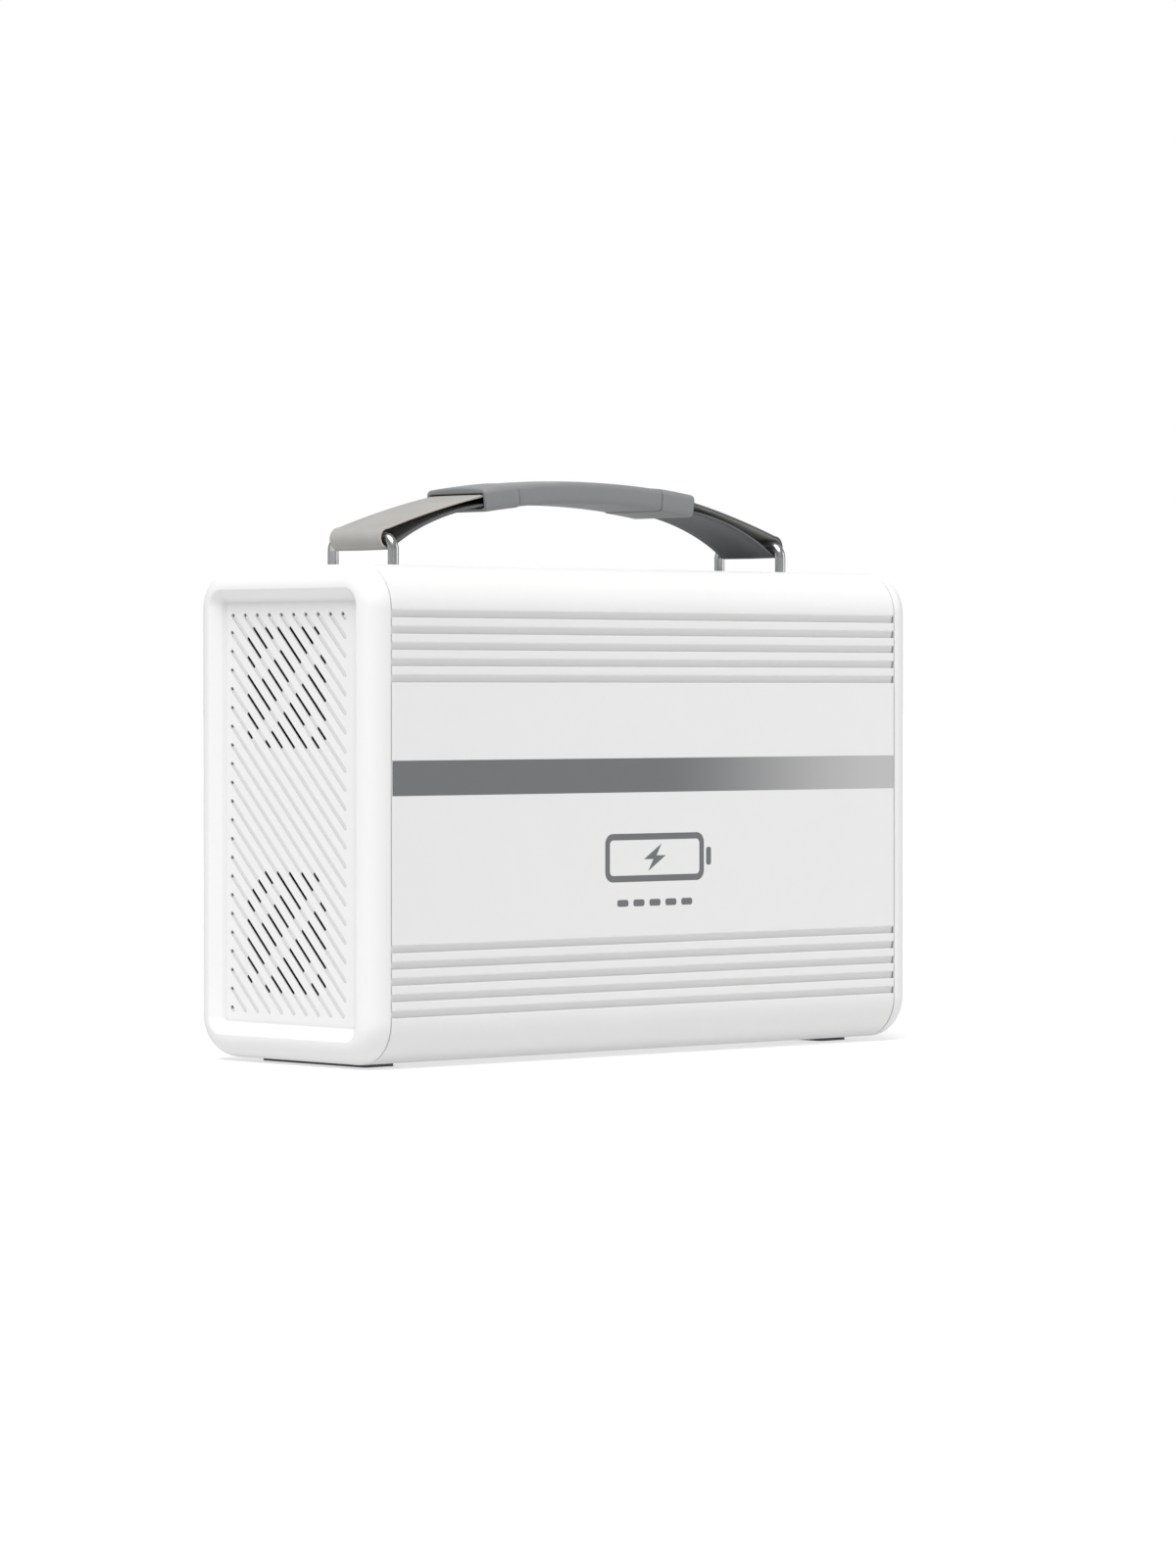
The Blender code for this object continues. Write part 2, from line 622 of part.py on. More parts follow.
def make_fan(name, z):
    """One cooling fan: its square frame with the motor's seat and shaft, and its rotor."""
    here = place(FAN_X, FAN_Y, z, VENT_END)
    half = FAN_HOLE_SPACING / 2
    corners = [(-half, -half), (half, -half), (half, half), (-half, half)]
    loops = [rounded_rectangle(FAN_SIZE, FAN_SIZE, 3.0, 2), circle(0, 0, DUCT_RADIUS, 32)]
    loops += [circle(x, y, 2.2, 8) for x, y in corners]
    frame = keep("fan_frame_" + name, outline("fan_frame_" + name, loops, FAN_DEPTH), FAN_BLACK, here)
    seat = outline("seat", [spider(HUB_RADIUS, DUCT_RADIUS + 1.0, 4.0, 4)], 2.0)
    seat_place = here @ place(0, 0, -FAN_DEPTH / 2 + 1.0)
    boolean(frame, tool("motor_seat_" + name, seat, seat_place), "UNION")
    shaft = rods("shaft", [(1.5, 8.8, (0, 0, -FAN_DEPTH / 2 + 5.4))], sides=12)
    boolean(frame, tool("shaft_" + name, shaft, here), "UNION")

    hub = [(0, 5), (10.5, 5), (HUB_RADIUS, 3.5), (HUB_RADIUS, -5), (1.9, -5), (1.9, 3), (0, 3)]
    rotor = keep("fan_rotor_" + name, turned("fan_rotor_" + name, hub, 28), FAN_BLACK, here)
    bm = bmesh.new()
    pitch = Euler((math.radians(35), 0, 0)).to_matrix().to_4x4()
    for i in range(BLADES):
        spin = Matrix.Rotation(2 * math.pi * i / BLADES, 4, "Z")
        put_box(bm, (15.8, 9.6, 1.4), spin @ Vector((19.4, 0, 0)), spin @ pitch)
    boolean(rotor, tool("blades_" + name, as_mesh("blades_" + name, bm), here), "UNION")



# ---------------------------------------------------------------- socket end

def make_display():
    """The display's window and the module behind it."""
    y, z, width, height = DISPLAY
    glass = outline("display_window", [rounded_rectangle(width, height, 0.6, 1)], 1.9)
    keep("display_window", glass, SMOKED_GLASS, place(FLOOR_FACE - 1.1, y, z, END_ON))
    size = (6.0, width + 6.0, height + 2.0)
    module = keep("display_module", boxes("display_module", [(size, (0, 0, 0))]), DARK_PLASTIC,
                  place(FLOOR_FACE - FLOOR_THICKNESS - GAP - 3.0, y, z + 0.5))
    bevel(module, 0.8)


def make_buttons():
    """Three push buttons with a stop flange, and the board with its switches behind them."""
    radius = BUTTON_RADIUS
    profile = [(0, 1.5), (5.6, 1.5), (6.8, 1.0), (radius, 0.4), (radius, -2.8)]
    profile += [(8.6, -2.8), (8.6, -4.2), (0, -4.2)]
    for name, (y, z) in BUTTONS.items():
        mesh = turned("button_" + name, profile)
        keep("button_" + name, mesh, BUTTON_GREY, place(FLOOR_FACE, y, z, END_ON))
    front = FLOOR_FACE - 5.9
    board_front = FLOOR_FACE - 16.0
    depth = front - board_front + 0.5
    switches = [((depth, 7.0, 7.0), (front - depth / 2, y, z)) for y, z in BUTTONS.values()]
    mesh = boxes("control_board", [((1.6, 92.0, 46.0), (board_front - 0.8, 0, 158.0))])
    board = keep("control_board", mesh, BOARD_GREEN)
    boolean(board, tool("button_switches", boxes("button_switches", switches)), "UNION")


def make_usb_module():
    """The module with two wide and two small charging ports, and their tongues."""
    y, z, width, height = USB_MODULE
    depth = 15.4
    face = FLOOR_FACE + 0.6
    body = boxes("usb_module", [((depth, width, height), (face - depth / 2, y, z))])
    module = keep("usb_module", body, DARK_PLASTIC)
    wide = [(-27.0, 13.2, 5.4), (-8.0, 13.2, 5.4)]
    small = [(10.0, 9.2, 3.4), (26.0, 9.2, 3.4)]
    holes = [((20.0, w, h), (face, offset, z)) for offset, w, h in wide + small]
    boolean(module, tool("usb_holes", boxes("usb_holes", holes)))
    tongues = [((8.2, w - 2.4, h * 0.34), (face - 6.4, offset, z)) for offset, w, h in wide + small]
    boolean(module, tool("usb_tongues", boxes("usb_tongues", tongues)), "UNION")


def make_car_socket():
    """The round 12 V socket, its centre contact, and its hinged lid on a pin."""
    y, z = CAR_SOCKET
    hinge_x, hinge_z = LID_HINGE
    profile = [(0, -CAR_DEPTH + 2), (CAR_BORE, -CAR_DEPTH + 2), (CAR_BORE, 2.0), (16.5, 2.0), (16.5, GAP)]
    profile += [(CAR_RADIUS, GAP), (CAR_RADIUS, -CAR_DEPTH), (0, -CAR_DEPTH)]
    mesh = turned("car_socket", profile, 28)
    socket = keep("car_socket", mesh, DARK_PLASTIC, place(FLOOR_FACE, y, z, END_ON))
    lugs = [((4.4, 2.4, 4.6), (hinge_x - 0.5, y + side * 5.0, hinge_z - 0.1)) for side in (-1, 1)]
    boolean(socket, tool("lid_lugs", boxes("lid_lugs", lugs)), "UNION")
    bore = rods("lid_bore", [(1.1, 20.0, (hinge_x, y, hinge_z))], "y", 12)
    bore_tool = tool("lid_bore", bore)
    boolean(socket, bore_tool)
    contact = rods("socket_contact", [(3.5, 3.0, (FLOOR_FACE - CAR_DEPTH + 2 + GAP + 1.5, y, z))], "x", 16)
    keep("socket_contact", contact, STEEL)

    here = place(hinge_x, y, hinge_z)
    disc = rods("socket_lid", [(LID_RADIUS, 2.0, (-0.5, 0, z - hinge_z))], "x", 28)
    lid = keep("socket_lid", disc, LID_RUBBER, here)
    boolean(lid, tool("lid_tab", boxes("lid_tab", [((1.6, 6.0, 3.6), (-0.5, 0, -2.0))]), here), "UNION")
    boolean(lid, tool("lid_knuckle", rods("lid_knuckle", [(1.6, 6.4, (0, 0, 0))], "y", 14), here), "UNION")
    boolean(lid, bore_tool)
    keep("lid_pin", rods("lid_pin", [(0.8, 12.4, (hinge_x, y, hinge_z))], "y", 12), STEEL)


def make_dc_jacks():
    """Three round low-voltage jacks, each with its centre pin."""
    profile = [(0, -1.0), (1.0, -1.0), (1.0, -9.0), (2.9, -9.0), (2.9, 1.2), (6.4, 1.2), (6.4, GAP)]
    profile += [(5.0, GAP), (5.0, -14.0), (0, -14.0)]
    jack = turned("dc_jack", profile, 16)
    for i, (y, z) in enumerate(DC_JACKS):
        keep("dc_jack_%d" % (i + 1), jack, DARK_PLASTIC, place(FLOOR_FACE, y, z, END_ON))


def make_ac_sockets():
    """Two mains sockets, each with two flat slots and a round one."""
    profile = [(0, 1.8), (16.2, 1.8), (17.2, 1.0), (17.2, GAP)]
    profile += [(AC_RADIUS, GAP), (AC_RADIUS, -20.0), (0, -20.0)]
    for name, (y, z) in AC_SOCKETS.items():
        mesh = turned("ac_socket_" + name, profile, 32)
        socket = keep("ac_socket_" + name, mesh, DARK_PLASTIC, place(FLOOR_FACE, y, z, END_ON))
        bm = bmesh.new()
        for side, height in ((-1, 8.0), (1, 9.0)):
            put_box(bm, (24.0, 2.0, height), (FLOOR_FACE, y + side * 6.35, z + 2.5))
        put_rod(bm, 2.6, 24.0, (FLOOR_FACE, y, z - 7.5), "x", 12)
        boolean(socket, tool("ac_slots_" + name, as_mesh("ac_slots_" + name, bm)))


# ---------------------------------------------------------------- battery

def make_battery():
    """Eight cells in a divided tray, with bus bars on a carrier, a cover and the protection board."""
    length, width, height = CELL_SIZE
    start = PACK_X - CELL_PITCH * (CELL_COUNT - 1) / 2
    top = CELL_BASE + height
    cell = tool("cell", boxes("cell", [((length, width, height), (0, 0, height / 2))]))
    bevel(cell, 1.5)
    posts = [(5.0, 8.0, (0, y, height)) for y in (-TERMINAL_Y, TERMINAL_Y)]
    boolean(cell, tool("cell_posts", rods("cell_posts", posts, sides=10)), "UNION")
    mesh = baked(cell)
    for i in range(CELL_COUNT):
        keep("battery_cell_%d" % (i + 1), mesh, CELL_BLUE, place(start + i * CELL_PITCH, 0, CELL_BASE))

    middles = [start + (i + 0.5) * CELL_PITCH for i in range(CELL_COUNT - 1)]
    bars = []
    for i, x in enumerate(middles):
        side = TERMINAL_Y if i % 2 else -TERMINAL_Y
        bars.append(((CELL_PITCH + 12.0, 14.0, 1.5), (x, side, top + 6.5)))
    carrier = boxes("bus_bar_carrier", [((CELL_PITCH * CELL_COUNT - 8.0, 84.0, 1.6), (PACK_X, 0, top + 5.1))])
    carrier = keep("bus_bar_carrier", carrier, COPPER)
    boolean(carrier, tool("bus_bars", boxes("bus_bars", bars)), "UNION")

    pack = CELL_PITCH * CELL_COUNT
    wall = 1.2
    tray_size = (pack + 4.0, 102.4, 20.0)
    tray = keep("battery_tray", boxes("battery_tray", [(tray_size, (0, 0, 10.0))]), DARK_PLASTIC,
                place(PACK_X, 0, CELL_BASE - GAP - 2.0))
    hollow = ((pack + 4.0 - 2 * wall, tray_size[1] - 2 * wall + 0.8, 20.0), (PACK_X, 0, CELL_BASE + 9.7))
    boolean(tray, tool("tray_hollow", boxes("tray_hollow", [hollow])))
    divider = (CELL_PITCH - length - 2 * GAP, width - 4.0, 60.0)
    dividers = boxes("dividers", [(divider, (x, 0, CELL_BASE + 29.0)) for x in middles])
    boolean(tray, tool("tray_dividers", dividers), "UNION")
    cover_z = top + 8.8
    cover = boxes("battery_cover", [((pack, 100.0, 2.0), (PACK_X, 0, cover_z))])
    cover = keep("battery_cover", cover, DARK_PLASTIC)
    board_z = cover_z + 1.0 + 4.0
    board = boxes("protection_board", [((150.0, 60.0, 1.6), (PACK_X, 0, board_z))])
    keep("protection_board", board, BOARD_GREEN)
    length = board_z - 0.8 - GAP - cover_z
    post_z = cover_z + length / 2
    posts = [(3.0, length, (PACK_X + x, y, post_z)) for x in (-68.0, 68.0) for y in (-24.0, 24.0)]
    boolean(cover, tool("cover_posts", rods("cover_posts", posts, sides=8)), "UNION")


# ---------------------------------------------------------------- power stage

def heatsink(fins, length):
    """Return the outline of a finned heatsink, with its base at the bottom."""
    pitch = length / (fins - 0.5)
    points = [(-length / 2, 0.0), (length / 2, 0.0)]
    for i in reversed(range(fins)):
        left = -length / 2 + i * pitch
        points += [(left + pitch / 2, 28.0), (left, 28.0)]
        if i:
            points += [(left, 5.0), (left - pitch / 2, 5.0)]
    return points


def make_power_stage():
    """The chassis plate with its posts, and the board, heatsinks, transformers and capacitors on it."""
    plate = boxes("chassis_plate", [((285.0, INNER_WIDTH - 1.0, 2.0), (PLATE_X, 0, PLATE_TOP - 1.0))])
    plate = keep("chassis_plate", plate, ALUMINIUM)
    length = BOARD_BASE - GAP - PLATE_TOP + 1.0
    post_z = PLATE_TOP - 1.0 + length / 2
    posts = [(3.0, length, (PLATE_X + x, y, post_z)) for x in (-132.0, 132.0) for y in (-48.0, 48.0)]
    boolean(plate, tool("plate_posts", rods("plate_posts", posts, sides=8)), "UNION")
    board = boxes("inverter_board", [((275.0, 106.0, 1.6), (PLATE_X, 0, BOARD_BASE + 0.8))])
    keep("inverter_board", board, BOARD_GREEN)
    top = BOARD_BASE + 1.6 + GAP
    for i, y in enumerate((-36.0, 36.0)):
        name = "heatsink_%d" % (i + 1)
        mesh = outline(name, [heatsink(8, 30.0)], 90.0)
        keep(name, mesh, ALUMINIUM, place(-92.0, y, top, END_ON))
    for i, x in enumerate((-10.0, 48.0)):
        name = "transformer_core_%d" % (i + 1)
        core = keep(name, boxes(name, [((38.0, 44.0, 36.0), (x, 0, top + 18.0))]), CORE_GREY)
        windows = [((60.0, 9.0, 22.0), (x, y, top + 18.0)) for y in (-12.0, 12.0)]
        boolean(core, tool(name + "_windows", boxes("windows", windows)))
        name = "transformer_winding_%d" % (i + 1)
        loops = [rounded_rectangle(50.0, 32.2, 4.0, 3), rounded_rectangle(38.6, 15.6, 0.5, 1)]
        keep(name, outline(name, loops, 20.0), COPPER, place(x, 0, top + 18.0))
    capacitor = turned("capacitor", [(0, 35.0), (10.0, 35.0), (11.0, 34.0), (11.0, 0), (0, 0)], 20)
    for i, y in enumerate((-26.0, 26.0)):
        keep("capacitor_%d" % (i + 1), capacitor, DARK_PLASTIC, place(100.0, y, top))
    charger = boxes("charger_board", [((1.6, 96.0, 40.0), (152.0, 0, 72.0))])
    keep("charger_board", charger, BOARD_GREEN)


def make_tie_rods():
    """Four long rods that draw both end caps onto the shell."""
    length = 2 * (SEAM + FLOOR_OUT - FLOOR_THICKNESS - GAP)
    for i, (y, z) in enumerate(ROD_PLACES):
        name = "tie_rod_%d" % (i + 1)
        keep(name, rods(name, [(2.4, length, (0, y, z))], "x", 10), STEEL)


make_housing()
make_vent_cap()
make_socket_cap()
make_handle()
for fan_name, fan_z in FAN_Z.items():
    make_fan(fan_name, fan_z)
make_display()
make_buttons()
make_usb_module()
make_car_socket()
make_dc_jacks()
make_ac_sockets()
make_battery()
make_power_stage()
make_tie_rods()
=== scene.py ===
"""The looks of the portable power station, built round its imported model.

Each class is one sub-assembly: its sizes are its fields, in millimetres unless a name says otherwise, and
its methods make its meshes and dress them. Meshes are drawn in millimetres, in the object's own frame
(+X to the socket end, -Y to the front, +Z up), and become metres when they are made.
"""
from __future__ import annotations

import logging
import math
from dataclasses import dataclass, field
from enum import Enum
from typing import Iterable, Sequence

import bmesh
import bpy
from mathutils import Euler, Matrix, Vector


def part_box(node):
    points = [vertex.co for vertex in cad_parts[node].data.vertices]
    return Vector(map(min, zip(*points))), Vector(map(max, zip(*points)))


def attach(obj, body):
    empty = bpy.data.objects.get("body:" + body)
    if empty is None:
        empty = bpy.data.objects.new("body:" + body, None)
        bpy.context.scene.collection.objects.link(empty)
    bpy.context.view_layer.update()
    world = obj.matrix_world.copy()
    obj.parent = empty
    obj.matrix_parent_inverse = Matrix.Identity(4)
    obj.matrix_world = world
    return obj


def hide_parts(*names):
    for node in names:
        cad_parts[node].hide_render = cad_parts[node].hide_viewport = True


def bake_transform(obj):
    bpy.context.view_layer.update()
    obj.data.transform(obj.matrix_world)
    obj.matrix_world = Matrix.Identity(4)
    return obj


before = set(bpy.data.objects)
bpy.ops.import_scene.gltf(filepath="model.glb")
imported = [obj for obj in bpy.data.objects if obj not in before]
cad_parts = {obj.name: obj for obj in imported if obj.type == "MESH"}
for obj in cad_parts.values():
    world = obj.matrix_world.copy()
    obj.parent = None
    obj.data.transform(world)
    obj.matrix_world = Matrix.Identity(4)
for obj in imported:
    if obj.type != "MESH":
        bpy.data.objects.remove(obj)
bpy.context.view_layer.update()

Point2 = tuple[float, float]
Point3 = tuple[float, float, float]
Colour = tuple[float, float, float]

LOG = logging.getLogger("power_station")
MM = 0.001
HOUSING = "housing"
GRIP = "handle_grip"
IDENTITY = Matrix.Identity(4)
CAP_STEPS = 5  # stretches in a stroke's round end
ROUND_STEPS = 3  # stretches in a rounded edge
DOUBLES_M = 0.000002  # points this close are one


class End(Enum):
    """One end of the housing, by the sign of its X."""

    VENT = -1
    SOCKET = 1

    @property
    def turn(self) -> Matrix:
        """The rotation that sends a drawing's X, Y and Z to this end's width, height and way out."""
        return Euler((math.radians(90), 0, math.radians(90 * self.value))).to_matrix().to_4x4()


class Axis(Enum):
    """The way a round piece points."""

    X = "x"
    Y = "y"

    @property
    def turn(self) -> Matrix:
        """The rotation that sends a drawing's Z along this axis."""
        return End.SOCKET.turn if self is Axis.X else Euler((math.radians(90), 0, 0)).to_matrix().to_4x4()


class Carve(Enum):
    """What a boolean does."""

    CUT = "DIFFERENCE"
    JOIN = "UNION"


class Lamp(Enum):
    """A kind of studio light."""

    SUN = "SUN"
    PANEL = "AREA"


def box_of(node: str) -> tuple[Vector, Vector]:
    """A node's lowest and highest corners at rest, in millimetres."""
    low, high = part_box(node)
    return low / MM, high / MM


def centre_of(node: str) -> Vector:
    """A node's centre at rest, in millimetres."""
    low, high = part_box(node)
    return (low + high) / 2 / MM


# ------------------------------------------------------------------------------------------ drawing


def arc(centre: Point2, radius: float, start: float, end: float, steps: int) -> list[Point2]:
    """Points round an arc.

    Args:
        centre: The arc's centre.
        radius: Its radius.
        start: The first angle, in degrees.
        end: The last angle, in degrees.
        steps: How many stretches it has.

    Returns:
        The points, with both ends.
    """
    angles = (math.radians(start + (end - start) * i / steps) for i in range(steps + 1))
    return [(centre[0] + radius * math.cos(a), centre[1] + radius * math.sin(a)) for a in angles]


def rounded_rectangle(
    width: float, height: float, radius: float, steps: int = 8, centre: Point2 = (0.0, 0.0)
) -> list[Point2]:
    """The points of a rounded rectangle.

    Args:
        width: Its size along the first axis.
        height: Its size along the second axis.
        radius: Its corners' radius.
        steps: Stretches in each corner.
        centre: Its centre.

    Returns:
        The points, anticlockwise from the lower right corner.
    """
    x, y = width / 2 - radius, height / 2 - radius
    corners = ((x, -y, -90.0), (x, y, 0.0), (-x, y, 90.0), (-x, -y, 180.0))
    return [
        point
        for cx, cy, start in corners
        for point in arc((centre[0] + cx, centre[1] + cy), radius, start, start + 90.0, steps)
    ]


def bezier(points: Sequence[Point2], steps: int) -> list[Point2]:
    """Points along a cubic curve.

    Args:
        points: Its four control points.
        steps: How many stretches it has.

    Returns:
        The points, without the last one.
    """
    found = []
    for i in range(steps):
        t = i / steps
        weights = ((1 - t) ** 3, 3 * t * (1 - t) ** 2, 3 * t * t * (1 - t), t**3)
        found.append(tuple(sum(w * p[axis] for w, p in zip(weights, points)) for axis in (0, 1)))
    return found


def stroke(points: Sequence[Point2], width: float) -> list[Point2]:
    """The outline of a line of even width with round ends.

    Args:
        points: The line's points.
        width: The line's width.

    Returns:
        The outline's points.
    """
    half = width / 2
    left, right = [], []
    for i, point in enumerate(points):
        before = Vector(points[max(i - 1, 0)])
        after = Vector(points[min(i + 1, len(points) - 1)])
        way = (after - before).normalized()
        side = Vector((-way.y, way.x)) * half
        left.append((point[0] + side.x, point[1] + side.y))
        right.append((point[0] - side.x, point[1] - side.y))
    last = Vector(points[-1]) - Vector(points[-2])
    first = Vector(points[1]) - Vector(points[0])
    turn_last = math.degrees(math.atan2(last.y, last.x))
    turn_first = math.degrees(math.atan2(first.y, first.x))
    tip = arc(points[-1], half, turn_last - 90, turn_last + 90, CAP_STEPS)
    tail = arc(points[0], half, turn_first + 90, turn_first + 270, CAP_STEPS)
    return right[:-1] + tip + left[-2:0:-1] + tail[:-1]


# ------------------------------------------------------------------------------------------ meshes


def to_mesh(name: str, bm: bmesh.types.BMesh, matrix: Matrix = IDENTITY) -> bpy.types.Mesh:
    """Turn a drawing in millimetres into a mesh in metres.

    Args:
        name: The mesh's name.
        bm: The drawing, which is freed.
        matrix: Where it goes, in millimetres.

    Returns:
        The mesh, its faces pointing out.
    """
    bmesh.ops.transform(bm, matrix=Matrix.Scale(MM, 4) @ matrix, verts=bm.verts)
    bmesh.ops.recalc_face_normals(bm, faces=bm.faces)
    mesh = bpy.data.meshes.new(name)
    bm.to_mesh(mesh)
    bm.free()
    return mesh


def loft(
    name: str, rings: Sequence[Sequence[Point3]], matrix: Matrix = IDENTITY, ring: bool = False
) -> bpy.types.Mesh:
    """Skin a row of closed sections that have as many points each.

    Args:
        name: The mesh's name.
        rings: The sections.
        matrix: Where it goes, in millimetres.
        ring: Whether the last section joins the first, instead of both being closed with a face.

    Returns:
        The skinned mesh.
    """
    bm = bmesh.new()
    made = [[bm.verts.new(point) for point in section] for section in rings]
    pairs = list(zip(made, made[1:] + made[:1])) if ring else list(zip(made, made[1:]))
    for lower, upper in pairs:
        count = len(lower)
        for i in range(count):
            j = (i + 1) % count
            bm.faces.new((lower[i], lower[j], upper[j], upper[i]))
    if not ring:
        bm.faces.new(made[0])
        bm.faces.new(made[-1])
    return to_mesh(name, bm, matrix)


def placed(name: str, data: bpy.types.ID | None) -> bpy.types.Object:
    """Put some data into the scene.

    Args:
        name: The object's name.
        data: A mesh, a curve, a light or a camera.

    Returns:
        The object.
    """
    obj = bpy.data.objects.new(name, data)
    bpy.context.scene.collection.objects.link(obj)
    return obj


def evaluated(obj: bpy.types.Object) -> bpy.types.Mesh:
    """Take the mesh that an object's modifiers make, with its doubles welded.

    Args:
        obj: The object, which is removed.

    Returns:
        The mesh.
    """
    bpy.context.view_layer.update()
    graph = bpy.context.evaluated_depsgraph_get()
    mesh = bpy.data.meshes.new_from_object(obj.evaluated_get(graph))
    bpy.data.objects.remove(obj, do_unlink=True)
    bm = bmesh.new()
    bm.from_mesh(mesh)
    bmesh.ops.remove_doubles(bm, verts=bm.verts, dist=DOUBLES_M)
    bmesh.ops.dissolve_degenerate(bm, edges=bm.edges, dist=DOUBLES_M / 2)
    bmesh.ops.recalc_face_normals(bm, faces=bm.faces)
    bm.to_mesh(mesh)
    bm.free()
    return mesh


def carved(mesh: bpy.types.Mesh, other: bpy.types.Mesh, kind: Carve = Carve.CUT) -> bpy.types.Mesh:
    """Cut one mesh from another, or join it on.

    Args:
        mesh: The mesh that is changed.
        other: The mesh that cuts or joins.
        kind: Which of the two.

    Returns:
        The new mesh.
    """
    obj, cutter = placed("passing", mesh), placed("passing", other)
    modifier = obj.modifiers.new("carve", "BOOLEAN")
    modifier.operation = kind.value
    modifier.solver = "EXACT"
    modifier.object = cutter
    made = evaluated(obj)
    bpy.data.objects.remove(cutter, do_unlink=True)
    return made


def softened(mesh: bpy.types.Mesh, width: float) -> bpy.types.Mesh:
    """Round a mesh's crisp edges.

    Args:
        mesh: The mesh.
        width: The rounding's width.

    Returns:
        The new mesh.
    """
    obj = placed("passing", mesh)
    modifier = obj.modifiers.new("soften", "BEVEL")
    modifier.width = width * MM
    modifier.segments = ROUND_STEPS
    modifier.limit_method = "ANGLE"
    modifier.angle_limit = math.radians(40.0)
    return evaluated(obj)


def box_mesh(name: str, size: Point3, centre: Point3) -> bpy.types.Mesh:
    """A box.

    Args:
        name: The mesh's name.
        size: Its three sizes.
        centre: Its centre.

    Returns:
        The mesh.
    """
    bm = bmesh.new()
    bmesh.ops.create_cube(bm, size=1.0, matrix=Matrix.Translation(centre) @ Matrix.Diagonal((*size, 1.0)))
    return to_mesh(name, bm)


def gathered(name: str, meshes: Iterable[bpy.types.Mesh]) -> bpy.types.Mesh:
    """Several meshes as one.

    Args:
        name: The new mesh's name.
        meshes: The meshes, already in place.

    Returns:
        The new mesh.
    """
    bm = bmesh.new()
    for mesh in meshes:
        bm.from_mesh(mesh)
    made = bpy.data.meshes.new(name)
    bm.to_mesh(made)
    bm.free()
    return made


def curve_mesh(
    name: str, lines: Sequence[Sequence[Point3]], closed: bool, matrix: Matrix, **settings: object
) -> bpy.types.Mesh:
    """The mesh of a curve.

    Args:
        name: The mesh's name.
        lines: The points of each of the curve's lines.
        closed: Whether its lines are closed.
        matrix: Where it goes, in millimetres.
        **settings: The curve's own settings by name.

    Returns:
        The mesh.
    """
    curve = bpy.data.curves.new(name, "CURVE")
    for setting, value in settings.items():
        setattr(curve, setting, value)
    for line in lines:
        spline = curve.splines.new("POLY")
        spline.points.add(len(line) - 1)
        spline.use_cyclic_u = closed
        for point, place in zip(spline.points, line):
            point.co = (*place, 1.0)
    mesh = evaluated(placed("passing", curve))
    mesh.transform(Matrix.Scale(MM, 4) @ matrix)
    return mesh


def flat_shape(
    name: str, loops: Sequence[Sequence[Point2]], thickness: float, matrix: Matrix
) -> bpy.types.Mesh:
    """A flat outline with its holes, thickened both ways along its own Z.

    Args:
        name: The mesh's name.
        loops: The outline, and its holes.
        thickness: The whole thickness.
        matrix: Where it goes, in millimetres.

    Returns:
        The mesh.
    """
    lines = [[(x, y, 0.0) for x, y in loop] for loop in loops]
    return curve_mesh(name, lines, True, matrix, dimensions="2D", fill_mode="BOTH", extrude=thickness / 2)


def wire(name: str, points: Sequence[Point3], radius: float) -> bpy.types.Mesh:
    """A round wire along points, closed at both ends.

    Args:
        name: The mesh's name.
        points: The wire's middle line.
        radius: The wire's radius.

    Returns:
        The mesh.
    """
    return curve_mesh(
        name, [points], False, IDENTITY, dimensions="3D", bevel_depth=radius, bevel_resolution=8,
        use_fill_caps=True,
    )


def turned(
    name: str, profile: Sequence[Point2], centre: Point3, axis: Matrix, sides: int = 48
) -> bpy.types.Mesh:
    """A profile turned about its own Z.

    Args:
        name: The mesh's name.
        profile: (radius, height) points that start and end on the axis, or go round a ring.
        centre: Where the profile's zero goes.
        axis: The rotation of the profile's Z.
        sides: Steps round the turn.

    Returns:
        The mesh.
    """
    bm = bmesh.new()
    edge = [bm.verts.new((radius, 0.0, height)) for radius, height in profile]
    edges = [bm.edges.new(pair) for pair in zip(edge, edge[1:])]
    if profile[0][0] > 0.0:
        edges.append(bm.edges.new((edge[-1], edge[0])))
    bmesh.ops.spin(
        bm, geom=edge + edges, cent=(0, 0, 0), axis=(0, 0, 1), angle=2 * math.pi, steps=sides, use_merge=True
    )
    bmesh.ops.remove_doubles(bm, verts=bm.verts, dist=0.0005)
    return to_mesh(name, bm, Matrix.Translation(centre) @ axis)


def rounded_profile(points: Sequence[Point2], radius: float) -> list[Point2]:
    """Round a profile's inner corners.

    Args:
        points: The profile's corner points.
        radius: The rounding's radius, cut back where a stretch is short.

    Returns:
        The profile with its first and last point kept.
    """
    found: list[Point2] = [points[0]]
    for before, here, after in zip(points, points[1:], points[2:]):
        corner, back, on = Vector(here), Vector(before) - Vector(here), Vector(after) - Vector(here)
        reach = min(radius, back.length * 0.45, on.length * 0.45)
        start, stop = corner + back.normalized() * reach, corner + on.normalized() * reach
        for i in range(ROUND_STEPS + 1):
            t = i / ROUND_STEPS
            point = start * (1 - t) ** 2 + corner * 2 * t * (1 - t) + stop * t * t
            found.append((point.x, point.y))
    found.append(points[-1])
    return found


# ------------------------------------------------------------------------------------------ node groups


